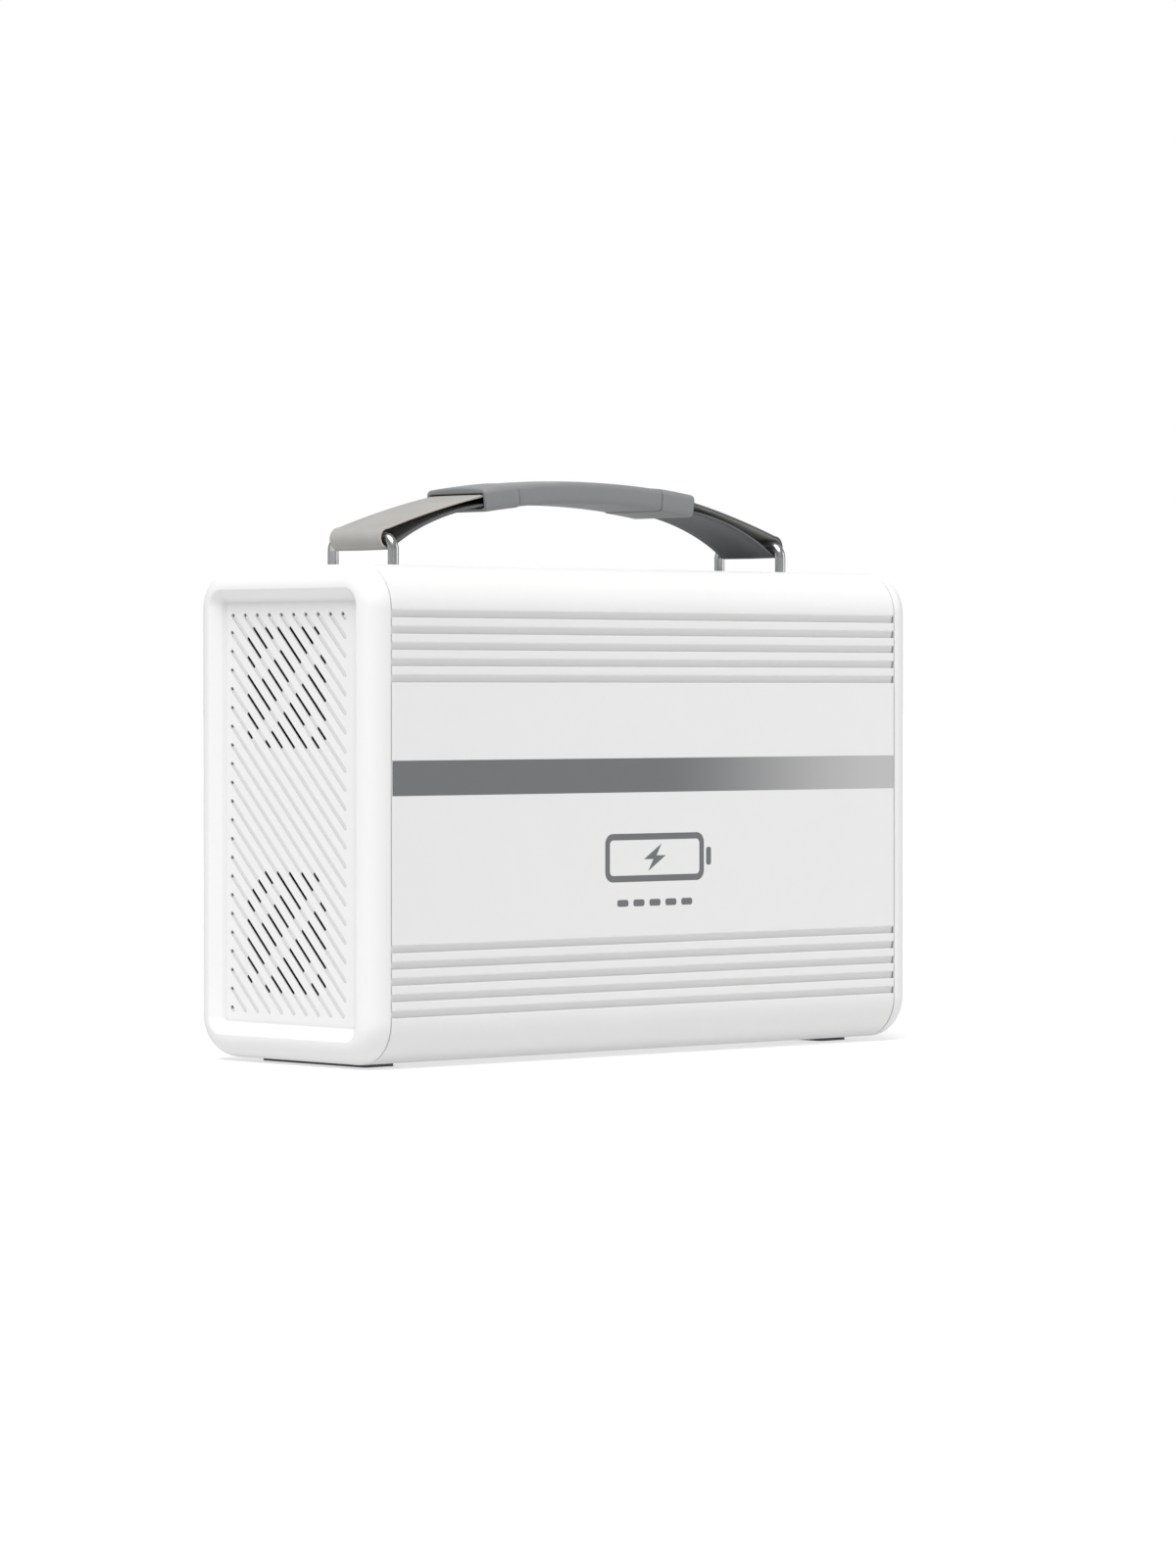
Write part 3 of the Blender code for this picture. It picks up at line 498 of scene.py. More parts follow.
class Graph:
    """A node tree that is being wired."""

    def __init__(self, tree: bpy.types.NodeTree) -> None:
        """Take the tree that the calls below add to."""
        self.tree = tree

    def node(self, kind: str, **settings: object) -> bpy.types.Node:
        """Add a node.

        Args:
            kind: Its type without the leading ShaderNode.
            **settings: Its own settings by name.

        Returns:
            The node.
        """
        made = self.tree.nodes.new("ShaderNode" + kind)
        for name, value in settings.items():
            setattr(made, name, value)
        return made

    def put(self, value: object, socket: bpy.types.NodeSocket) -> None:
        """Wire an output to a socket, or set the socket's own value.

        Args:
            value: An output or a plain value.
            socket: The socket that takes it.
        """
        if isinstance(value, bpy.types.NodeSocket):
            self.tree.links.new(value, socket)
        else:
            socket.default_value = value

    def feed(self, node: bpy.types.Node, **values: object) -> bpy.types.Node:
        """Wire or set a node's inputs.

        Args:
            node: The node.
            **values: Outputs or plain values by the input's name, with underscores for spaces.

        Returns:
            The node.
        """
        for name, value in values.items():
            self.put(value, node.inputs[name.replace("_", " ")])
        return node

    def math(self, operation: str, *values: object, clamp: bool = False) -> bpy.types.NodeSocket:
        """Add a Math node.

        Args:
            operation: What it does.
            *values: Its inputs in order.
            clamp: Whether its result is held between 0 and 1.

        Returns:
            Its result.
        """
        made = self.node("Math", operation=operation, use_clamp=clamp)
        for value, socket in zip(values, made.inputs):
            self.put(value, socket)
        return made.outputs[0]

    def mix(self, factor: object, first: object, second: object, blend: str = "MIX") -> bpy.types.NodeSocket:
        """Add a colour Mix node.

        Args:
            factor: How much of the second colour shows.
            first: The first colour.
            second: The second colour.
            blend: How they are mixed.

        Returns:
            Its result.
        """
        made = self.node("Mix", data_type="RGBA", blend_type=blend)
        for value, socket in ((factor, 0), (first, 6), (second, 7)):
            self.put(value, made.inputs[socket])
        return made.outputs[2]

    def remap(
        self, value: object, low: float, high: float, to_low: float, to_high: float, kind: str = "LINEAR"
    ) -> bpy.types.NodeSocket:
        """Add a clamped Map Range node.

        Args:
            value: What it reads.
            low: The value that gives to_low.
            high: The value that gives to_high.
            to_low: The result at low.
            to_high: The result at high.
            kind: How it goes from one to the other.

        Returns:
            Its result.
        """
        made = self.node("MapRange", interpolation_type=kind)
        for item, socket in zip((value, low, high, to_low, to_high), made.inputs):
            self.put(item, socket)
        return made.outputs[0]

    def noise(
        self, vector: object, scale: object, detail: float = 2.0, rough: float = 0.5
    ) -> bpy.types.NodeSocket:
        """Add a Noise Texture.

        Args:
            vector: Where it is read.
            scale: How many times it repeats in a metre.
            detail: How many finer layers it has.
            rough: How strong those are.

        Returns:
            Its value.
        """
        made = self.feed(self.node("TexNoise"), Vector=vector, Scale=scale, Detail=detail, Roughness=rough)
        return made.outputs["Fac"]

    def place(self) -> bpy.types.NodeSocket:
        """The point's place in its object."""
        return self.node("TexCoord").outputs["Object"]

    def facing(self) -> bpy.types.NodeSocket:
        """The way the surface looks."""
        return self.node("NewGeometry").outputs["Normal"]


class Effect(Enum):
    """A shader node group that several materials use."""

    GRAIN = "moulded grain"
    EDGE = "edge wear"
    DUST = "settled dust"
    WEAVE = "webbing weave"
    BRUSH = "drawn streaks"
    CAVITY = "cavity shade"


@dataclass
class SharedEffect:
    """A node group in the making: its graph, its inputs by name and its output node."""

    effect: Effect
    inputs: dict[str, object]
    outputs: dict[str, str]
    graph: Graph = field(init=False)
    given: dict[str, bpy.types.NodeSocket] = field(init=False)
    out: bpy.types.Node = field(init=False)

    def __post_init__(self) -> None:
        """Make the group with its sockets; a four-number default makes a colour."""
        tree = bpy.data.node_groups.new(self.effect.value, "ShaderNodeTree")
        for name, value in self.inputs.items():
            kind = "NodeSocketColor" if isinstance(value, tuple) else "NodeSocketFloat"
            tree.interface.new_socket(name, in_out="INPUT", socket_type=kind).default_value = value
        for name, kind in self.outputs.items():
            tree.interface.new_socket(name, in_out="OUTPUT", socket_type="NodeSocket" + kind)
        self.graph = Graph(tree)
        source = tree.nodes.new("NodeGroupInput")
        self.given = {socket.name: socket for socket in source.outputs if socket.name}
        self.out = tree.nodes.new("NodeGroupOutput")

    def give(self, **values: bpy.types.NodeSocket) -> bpy.types.NodeTree:
        """Wire what the group puts out.

        Args:
            **values: Its outputs by name.

        Returns:
            The finished group.
        """
        self.graph.feed(self.out, **values)
        return self.graph.tree

    def give_coat(self, mask: bpy.types.NodeSocket, colour: str) -> bpy.types.NodeTree:
        """Put out the mask, and the given colour with another one on it where the mask is.

        Args:
            mask: The mask.
            colour: The name of the other colour's input.

        Returns:
            The finished group.
        """
        return self.give(Colour=self.graph.mix(mask, self.given["Colour"], self.given[colour]), Mask=mask)

    def swing(self, value: bpy.types.NodeSocket) -> bpy.types.NodeSocket:
        """Move the given roughness both ways by the given spread.

        Args:
            value: A value from 0 to 1.

        Returns:
            The roughness.
        """
        graph, given = self.graph, self.given
        reach = graph.math("MULTIPLY", given["Spread"], 2.0)
        move = graph.math("MULTIPLY", graph.math("SUBTRACT", value, 0.5), reach)
        return graph.math("ADD", given["Roughness"], move, clamp=True)


SKIN_OUT = {"Colour": "Color", "Roughness": "Float", "Height": "Float"}
COAT_OUT = {"Colour": "Color", "Mask": "Float"}
GREY = (0.5, 0.5, 0.5, 1.0)


def grain_group() -> bpy.types.NodeTree:
    """Moulded or powder-coated skin: faint mottling, uneven gloss and a fine pebbled height.

    Returns:
        The group.
    """
    made = SharedEffect(
        Effect.GRAIN,
        {"Colour": (0.8, 0.8, 0.8, 1.0), "Mottle": 0.05, "Roughness": 0.45, "Spread": 0.08,
         "Grain Scale": 1500.0},
        SKIN_OUT,
    )
    graph, given = made.graph, made.given
    place = graph.place()
    broad = graph.math("MULTIPLY", graph.noise(place, 14.0, 3.0, 0.6), 0.6)
    patch = graph.noise(place, 90.0, 4.0, 0.65)
    shade = graph.remap(graph.math("ADD", broad, graph.math("MULTIPLY", patch, 0.4)), 0.3, 0.7, 0.0, 1.0)
    darker = graph.mix(1.0, given["Colour"], (0.86, 0.86, 0.87, 1.0), "MULTIPLY")
    amount = graph.math("MULTIPLY", shade, given["Mottle"])
    return made.give(
        Colour=graph.mix(amount, given["Colour"], darker), Roughness=made.swing(patch),
        Height=graph.noise(place, given["Grain Scale"]),
    )


def edge_group() -> bpy.types.NodeTree:
    """A piece's rounded edges, broken up by noise, in the colour of their wear.

    Returns:
        The group.
    """
    made = SharedEffect(
        Effect.EDGE,
        {"Colour": GREY, "Edge Colour": (0.8, 0.8, 0.8, 1.0), "Amount": 0.3, "Radius": 0.0008}, COAT_OUT,
    )
    graph, given = made.graph, made.given
    soft = graph.feed(graph.node("Bevel", samples=4), Radius=given["Radius"])
    turn = graph.node("VectorMath", operation="DOT_PRODUCT")
    graph.put(soft.outputs["Normal"], turn.inputs[0])
    graph.put(graph.facing(), turn.inputs[1])
    edge = graph.remap(turn.outputs["Value"], 0.995, 0.86, 0.0, 1.0)
    broken = graph.remap(graph.noise(graph.place(), 260.0, 5.0, 0.7), 0.38, 0.62, 0.25, 1.0)
    mask = graph.math("MULTIPLY", graph.math("MULTIPLY", edge, broken), given["Amount"], clamp=True)
    return made.give_coat(mask, "Edge Colour")


def dust_group() -> bpy.types.NodeTree:
    """A thin film of dust where a surface looks up.

    Returns:
        The group.
    """
    made = SharedEffect(
        Effect.DUST,
        {"Colour": GREY, "Dust Colour": (0.62, 0.6, 0.57, 1.0), "Amount": 0.1, "Scale": 60.0}, COAT_OUT,
    )
    graph, given = made.graph, made.given
    up = graph.feed(graph.node("SeparateXYZ"), Vector=graph.facing())
    film = graph.remap(up.outputs["Z"], 0.2, 0.95, 0.0, 1.0)
    patches = graph.remap(graph.noise(graph.place(), given["Scale"], 5.0, 0.7), 0.4, 0.7, 0.2, 1.0)
    mask = graph.math("MULTIPLY", graph.math("MULTIPLY", film, patches), given["Amount"], clamp=True)
    return made.give_coat(mask, "Dust Colour")


def weave_group() -> bpy.types.NodeTree:
    """Close woven webbing, from a point's way along and across the strap, both in metres.

    Returns:
        The group.
    """
    made = SharedEffect(
        Effect.WEAVE,
        {"Along": 0.0, "Across": 0.0, "Pitch": 0.0012, "Colour": (0.4, 0.4, 0.4, 1.0),
         "Low Colour": (0.2, 0.2, 0.2, 1.0), "Edge Colour": (0.6, 0.55, 0.48, 1.0), "Half Width": 0.019},
        SKIN_OUT,
    )
    graph, given = made.graph, made.given
    turn = graph.math("DIVIDE", 2 * math.pi, given["Pitch"])
    warp = graph.math("SINE", graph.math("MULTIPLY", given["Across"], turn))
    shift = graph.math("MULTIPLY", graph.math("SIGN", warp), math.pi / 2)
    weft = graph.math("SINE", graph.math("ADD", graph.math("MULTIPLY", given["Along"], turn), shift))
    threads = graph.math("MULTIPLY", graph.math("ABSOLUTE", warp), graph.remap(weft, -1.0, 1.0, 0.45, 1.0))
    fuzz = graph.noise(graph.place(), 2600.0, 3.0, 0.6)
    worn = graph.noise(graph.place(), 55.0, 4.0, 0.6)
    tone = graph.remap(graph.math("ADD", threads, graph.math("MULTIPLY", worn, 0.6)), 0.2, 1.3, 0.0, 1.0)
    body = graph.mix(tone, given["Low Colour"], given["Colour"])
    rim = graph.math("SUBTRACT", given["Half Width"], graph.math("ABSOLUTE", given["Across"]))
    selvedge = graph.remap(rim, 0.0003, 0.0001, 0.0, 1.0)
    return made.give(
        Colour=graph.mix(selvedge, body, given["Edge Colour"]),
        Roughness=graph.remap(threads, 0.0, 1.0, 0.95, 0.8),
        Height=graph.math("ADD", threads, graph.math("MULTIPLY", fuzz, 0.35)),
    )


def brush_group() -> bpy.types.NodeTree:
    """Fine drawn or brushed streaks, stretched along one axis by the three stretch numbers.

    Returns:
        The group.
    """
    made = SharedEffect(
        Effect.BRUSH,
        {"Stretch X": 1.0, "Stretch Y": 1.0, "Stretch Z": 0.05, "Roughness": 0.3, "Spread": 0.15},
        {"Roughness": "Float", "Height": "Float"},
    )
    graph, given = made.graph, made.given
    stretch = graph.feed(graph.node("CombineXYZ"), **{axis: given["Stretch " + axis] for axis in "XYZ"})
    pulled = graph.node("VectorMath", operation="MULTIPLY")
    graph.put(graph.place(), pulled.inputs[0])
    graph.put(stretch.outputs[0], pulled.inputs[1])
    streak = graph.noise(pulled.outputs[0], 1800.0, 3.0, 0.6)
    return made.give(Roughness=made.swing(streak), Height=streak)


def painted_cavity_shade_group() -> bpy.types.NodeTree:
    """Painted shade: a greyer colour in grooves and inner corners, where the surface is shut in.

    Returns:
        The group.
    """
    made = SharedEffect(
        Effect.CAVITY,
        {"Colour": (0.8, 0.8, 0.8, 1.0), "Painted Shade Colour": (0.45, 0.45, 0.45, 1.0), "Amount": 0.5,
         "Distance": 0.003},
        COAT_OUT,
    )
    graph, given = made.graph, made.given
    # Ambient occlusion drives the painted shade: the more shut in a point is, the greyer its colour.
    near = graph.feed(graph.node("AmbientOcclusion", samples=6, only_local=True), Distance=given["Distance"])
    painted_shade_mask = graph.remap(near.outputs["AO"], 1.0, 0.55, 0.0, 1.0)
    return made.give_coat(graph.math("MULTIPLY", painted_shade_mask, given["Amount"], clamp=True), "Painted Shade Colour")


GROUPS: dict[Effect, bpy.types.NodeTree] = {
    Effect.GRAIN: grain_group(),
    Effect.EDGE: edge_group(),
    Effect.DUST: dust_group(),
    Effect.WEAVE: weave_group(),
    Effect.BRUSH: brush_group(),
    Effect.CAVITY: painted_cavity_shade_group(),
}


# ------------------------------------------------------------------------------------------ finishes


@dataclass(frozen=True)
class Finish:
    """A material: a slot name, which nothing here reads, and its main colour."""

    slot: str
    colour: Colour

    def build(self, name: str) -> bpy.types.Material:
        """Make the material.

        Args:
            name: Its name.

        Returns:
            The material.
        """
        material = bpy.data.materials.new(name)
        material.use_nodes = True
        material.diffuse_color = (*self.colour, 1.0)
        self.wire(Graph(material.node_tree), material.node_tree.nodes["Principled BSDF"])
        return material

    def wire(self, graph: Graph, shader: bpy.types.Node) -> None:
        """Wire the material's nodes; each kind of finish has its own.

        Args:
            graph: The material's graph.
            shader: Its Principled shader.
        """
        raise NotImplementedError

    @staticmethod
    def group(graph: Graph, effect: Effect, **values: object) -> bpy.types.Node:
        """Place a shared effect in a material.

        Args:
            graph: The material's graph.
            effect: Which effect.
            **values: Its inputs, with underscores for spaces.

        Returns:
            The group's node.
        """
        return graph.feed(graph.node("Group", node_tree=GROUPS[effect]), **values)

    @staticmethod
    def bump(graph: Graph, height: object, distance: float, strength: float = 1.0) -> bpy.types.NodeSocket:
        """Turn a height into a normal.

        Args:
            graph: The material's graph.
            height: The height's output.
            distance: The height's full depth, in metres.
            strength: How much of it shows.

        Returns:
            The normal's output.
        """
        node = graph.feed(graph.node("Bump"), Strength=strength, Distance=distance, Height=height)
        return node.outputs["Normal"]


@dataclass(frozen=True)
class Moulded(Finish):
    """Moulded plastic, rubber or powder coat."""

    roughness: float = 0.45
    spread: float = 0.06
    mottle: float = 0.25
    grain_scale: float = 1600.0
    grain_depth: float = 0.00004
    edge_colour: Colour = (0.9, 0.9, 0.9)
    edge_amount: float = 0.2
    dust: float = 0.05
    cavity: float = 0.0

    def wire(self, graph: Graph, shader: bpy.types.Node) -> None:
        """Wire grain, then worn edges, then dust, then painted shade in its cavities.

        Args:
            graph: The material's graph.
            shader: Its Principled shader.
        """
        grain = self.group(
            graph, Effect.GRAIN, Colour=(*self.colour, 1.0), Mottle=self.mottle, Roughness=self.roughness,
            Spread=self.spread, Grain_Scale=self.grain_scale,
        )
        skin = self.group(
            graph, Effect.EDGE, Colour=grain.outputs["Colour"], Edge_Colour=(*self.edge_colour, 1.0),
            Amount=self.edge_amount,
        )
        skin = self.group(graph, Effect.DUST, Colour=skin.outputs["Colour"], Amount=self.dust)
        # Painted shade: grooves and inner corners are greyed by the ambient occlusion mask.
        if self.cavity > 0.0:
            skin = self.group(graph, Effect.CAVITY, Colour=skin.outputs["Colour"], Amount=self.cavity)
        graph.feed(
            shader, Base_Color=skin.outputs["Colour"], Roughness=grain.outputs["Roughness"],
            Normal=self.bump(graph, grain.outputs["Height"], self.grain_depth),
        )


@dataclass(frozen=True)
class Metal(Finish):
    """Drawn, brushed or plated metal."""

    roughness: float = 0.28
    spread: float = 0.1
    stretch: Point3 = (1.0, 1.0, 0.05)

    def wire(self, graph: Graph, shader: bpy.types.Node) -> None:
        """Wire streaks in colour, gloss and height.

        Args:
            graph: The material's graph.
            shader: Its Principled shader.
        """
        x, y, z = self.stretch
        streaks = self.group(
            graph, Effect.BRUSH, Stretch_X=x, Stretch_Y=y, Stretch_Z=z, Roughness=self.roughness,
            Spread=self.spread,
        )
        tone = graph.remap(streaks.outputs["Height"], 0.3, 0.7, 0.0, 1.0)
        dark = tuple(channel * 0.82 for channel in self.colour)
        graph.feed(
            shader, Base_Color=graph.mix(tone, (*dark, 1.0), (*self.colour, 1.0)), Metallic=1.0,
            Roughness=streaks.outputs["Roughness"],
            Normal=self.bump(graph, streaks.outputs["Height"], 0.00001),
        )


@dataclass(frozen=True)
class Webbing(Finish):
    """Woven webbing with paler cut edges, and painted shade where the strap's lower run and far edges are
    darkened.
    """

    low_colour: Colour = (0.2, 0.2, 0.2)
    edge_colour: Colour = (0.5, 0.46, 0.4)
    painted_shade_colour: Colour = (0.09, 0.095, 0.1)
    painted_shade_low_colour: Colour = (0.04, 0.044, 0.048)
    pitch_m: float = 0.0011

    def wire(self, graph: Graph, shader: bpy.types.Node) -> None:
        """Wire the weave from the strap's own along, across and painted shade attributes.

        Args:
            graph: The material's graph.
            shader: Its Principled shader.
        """
        along, across, painted_shade = (
            graph.node("Attribute", attribute_name=name).outputs["Fac"] for name in ("along", "across", "painted_shade")
        )
        # Where the painted shade attribute is 1, each colour gives way to its darker painted shade colour.
        plain, low, edge = (
            graph.mix(painted_shade, (*front, 1.0), (*back, 1.0))
            for front, back in (
                (self.colour, self.painted_shade_colour), (self.low_colour, self.painted_shade_low_colour),
                (self.edge_colour, self.painted_shade_colour),
            )
        )
        weave = self.group(
            graph, Effect.WEAVE, Along=along, Across=across, Pitch=self.pitch_m, Colour=plain,
            Low_Colour=low, Edge_Colour=edge,
        )
        dust = self.group(graph, Effect.DUST, Colour=weave.outputs["Colour"], Amount=0.1)
        graph.feed(
            shader, Base_Color=dust.outputs["Colour"], Roughness=weave.outputs["Roughness"],
            Sheen_Weight=0.25, Sheen_Roughness=0.5,
            Normal=self.bump(graph, weave.outputs["Height"], 0.00012, 0.8),
        )


@dataclass(frozen=True)
class StripePrint(Finish):
    """The grey printed stripe, with a painted reflection that pales it towards the socket end."""

    pale: Colour = (0.5, 0.5, 0.5)
    reflection_fade_from_m: float = 0.0
    reflection_fade_to_m: float = 0.17

    def wire(self, graph: Graph, shader: bpy.types.Node) -> None:
        """Wire a painted reflection, pale towards the socket end along X, over a satin skin.

        Args:
            graph: The material's graph.
            shader: Its Principled shader.
        """
        split = graph.feed(graph.node("SeparateXYZ"), Vector=graph.place())
        # Painted reflection: the stripe's colour runs to pale along X towards the socket end.
        painted_reflection_fade = graph.remap(split.outputs["X"], self.reflection_fade_from_m, self.reflection_fade_to_m, 0.0, 1.0, "SMOOTHSTEP")
        colour = graph.mix(painted_reflection_fade, (*self.colour, 1.0), (*self.pale, 1.0))
        grain = self.group(
            graph, Effect.GRAIN, Colour=colour, Mottle=0.2, Roughness=0.38, Spread=0.05, Grain_Scale=1800.0
        )
        graph.feed(
            shader, Base_Color=grain.outputs["Colour"], Roughness=grain.outputs["Roughness"],
            Normal=self.bump(graph, grain.outputs["Height"], 0.00002),
        )


@dataclass(frozen=True)
class Window(Finish):
    """A smoked clear window."""

    def wire(self, graph: Graph, shader: bpy.types.Node) -> None:
        """Wire a tinted, glossy skin with faint smears.

        Args:
            graph: The material's graph.
            shader: Its Principled shader.
        """
        smear = graph.remap(graph.noise(graph.place(), 120.0, 4.0, 0.6), 0.35, 0.7, 0.03, 0.14)
        graph.feed(
            shader, Base_Color=(*self.colour, 1.0), Roughness=smear, Transmission_Weight=0.85, IOR=1.49
        )


@dataclass(frozen=True)
class Glow(Finish):
    """A lit mark on a display or a button."""

    strength: float = 1.2

    def wire(self, graph: Graph, shader: bpy.types.Node) -> None:
        """Wire a steady glow, a little uneven.

        Args:
            graph: The material's graph.
            shader: Its Principled shader.
        """
        uneven = graph.remap(graph.noise(graph.place(), 400.0), 0.3, 0.7, 0.75, 1.0)
        colour = graph.mix(uneven, (0.0, 0.0, 0.0, 1.0), (*self.colour, 1.0))
        graph.feed(shader, Base_Color=colour, Emission_Color=colour, Emission_Strength=self.strength)


@dataclass(frozen=True)
class Board(Finish):
    """A circuit board with tracks under its solder mask."""

    track: Colour = (0.05, 0.26, 0.12)

    def wire(self, graph: Graph, shader: bpy.types.Node) -> None:
        """Wire blocky tracks from cells, with their own slight height.

        Args:
            graph: The material's graph.
            shader: Its Principled shader.
        """
        cells = graph.node("TexVoronoi", distance="CHEBYCHEV", feature="DISTANCE_TO_EDGE")
        graph.feed(cells, Vector=graph.place(), Scale=220.0)
        track = graph.remap(cells.outputs["Distance"], 0.05, 0.09, 1.0, 0.0)
        graph.feed(
            shader, Base_Color=graph.mix(track, (*self.colour, 1.0), (*self.track, 1.0)),
            Roughness=graph.remap(track, 0.0, 1.0, 0.35, 0.5), Normal=self.bump(graph, track, 0.00003),
        )


class Skin(Enum):
    """Every finish of the object; its material takes the member's name."""

    # cavity on the two white finishes greys their grooves, recesses and inner corners with painted shade.
    WHITE_POWDER_COAT = Moulded(
        "white_shell", (0.83, 0.83, 0.825), roughness=0.42, grain_scale=900.0, grain_depth=0.00003,
        mottle=0.12, dust=0.03, edge_amount=0.1, cavity=0.4,
    )
    WHITE_MOULDING = Moulded(
        "white_plastic", (0.86, 0.86, 0.855), roughness=0.46, grain_scale=2200.0, grain_depth=0.00003,
        mottle=0.12, dust=0.03, edge_amount=0.1, cavity=0.9,
    )
    STRIPE_INK = StripePrint("stripe_print", (0.145, 0.15, 0.155))
    MARK_INK = Moulded("stripe_print", (0.15, 0.155, 0.16), roughness=0.5, edge_amount=0.0, dust=0.0)
    SLATE_RUBBER = Moulded(
        "foot_rubber", (0.075, 0.085, 0.095), roughness=0.8, grain_scale=1200.0, grain_depth=0.00008,
        edge_colour=(0.2, 0.21, 0.22),
    )
    BRIGHT_WIRE = Metal("steel", (0.58, 0.59, 0.6), roughness=0.24, stretch=(1.0, 1.0, 0.06))
    PLATED_STEEL = Metal("steel", (0.5, 0.5, 0.5), roughness=0.35)
    STRAP_WEBBING = Webbing("webbing", (0.46, 0.45, 0.43), low_colour=(0.27, 0.265, 0.255))
    GRIP_SKIN = Moulded(
        "grip_rubber", (0.225, 0.23, 0.235), roughness=0.55, grain_scale=1400.0, grain_depth=0.00006,
        edge_colour=(0.36, 0.36, 0.37), edge_amount=0.35, dust=0.1,
    )
    SOCKET_BLACK = Moulded(
        "socket_plastic", (0.035, 0.036, 0.04), roughness=0.45, grain_scale=2400.0,
        edge_colour=(0.16, 0.16, 0.17),
    )
    BUTTON_GREY = Moulded(
        "button_plastic", (0.27, 0.275, 0.28), roughness=0.5, edge_colour=(0.45, 0.45, 0.46),
    )
    LID_SKIN = Moulded(
        "lid_rubber", (0.1, 0.1, 0.105), roughness=0.72, grain_depth=0.00008,
        edge_colour=(0.24, 0.24, 0.25),
    )
    DISPLAY_GLASS = Window("smoked_window", (0.25, 0.27, 0.3))
    DISPLAY_BLACK = Moulded("inner_plastic", (0.008, 0.009, 0.01), roughness=0.3, edge_amount=0.0)
    DISPLAY_GLOW = Glow("smoked_window", (0.75, 0.9, 1.0), strength=1.6)
    BUTTON_GLOW = Glow("button_plastic", (0.25, 0.9, 0.45), strength=0.9)
    FAN_BLACK = Moulded("inner_plastic", (0.03, 0.03, 0.032), roughness=0.5, edge_colour=(0.12, 0.12, 0.12))
    CELL_SLEEVE = Moulded("cell", (0.05, 0.16, 0.35), roughness=0.3)
    BOARD_MASK = Board("circuit_board", (0.02, 0.13, 0.06))
    BAR_COPPER = Metal("bus_bar", (0.72, 0.38, 0.22), roughness=0.35)
    BARE_ALUMINIUM = Metal("bare_aluminium", (0.72, 0.73, 0.74), roughness=0.35, stretch=(0.05, 1.0, 1.0))
    CORE_GREY = Moulded("ferrite", (0.12, 0.12, 0.13), roughness=0.6)
    WINDING_COPPER = Metal("copper_winding", (0.7, 0.33, 0.17), roughness=0.4, stretch=(1.0, 1.0, 4.0))
    CONTACT_BRASS = Metal("socket_plastic", (0.72, 0.58, 0.32), roughness=0.3)


# ------------------------------------------------------------------------------------------ sub-assemblies


@dataclass
class Assembly:
    """What every sub-assembly shares: its finishes, and a way to add a finished piece."""

    finishes: dict[Skin, bpy.types.Material]

    def add(
        self, name: str, mesh: bpy.types.Mesh, finish: Skin, body: str | None = HOUSING,
        stands_for: Sequence[str] = (), sharp: float = 32.0, flat: bool = False,
    ) -> bpy.types.Object:
        """Add a piece.

        Args:
            name: The piece's name.
            mesh: Its mesh, in place.
            finish: Its finish.
            body: The body it rides on, or None to leave it unattached.
            stands_for: The CAD nodes it replaces.
            sharp: The least turn, in degrees, of an edge that stays crisp.
            flat: Whether its large faces shade flat up to their rounded edges.

        Returns:
            The piece.
        """
        mesh.materials.clear()
        mesh.materials.append(self.finishes[finish])
        mesh.shade_smooth()
        mesh.set_sharp_from_angle(angle=math.radians(sharp))
        piece = placed(name, mesh)
        if flat:
            piece.modifiers.new("even_faces", "WEIGHTED_NORMAL").keep_sharp = True
        if body is not None:
            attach(piece, body)
        if stands_for:
            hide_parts(*stands_for)
        LOG.info("%s: %d faces in %s", name, len(mesh.polygons), finish.name)
        return piece

    def dress(self, finish: Skin, *nodes: str) -> None:
        """Give CAD nodes that stay a finish, in every material slot they have.

        Args:
            finish: The finish.
            *nodes: The nodes.
        """
        for name in nodes:
            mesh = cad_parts[name].data
            mesh.materials.clear()
            mesh.materials.append(self.finishes[finish])
            LOG.info("%s: CAD solid in %s", name, finish.name)


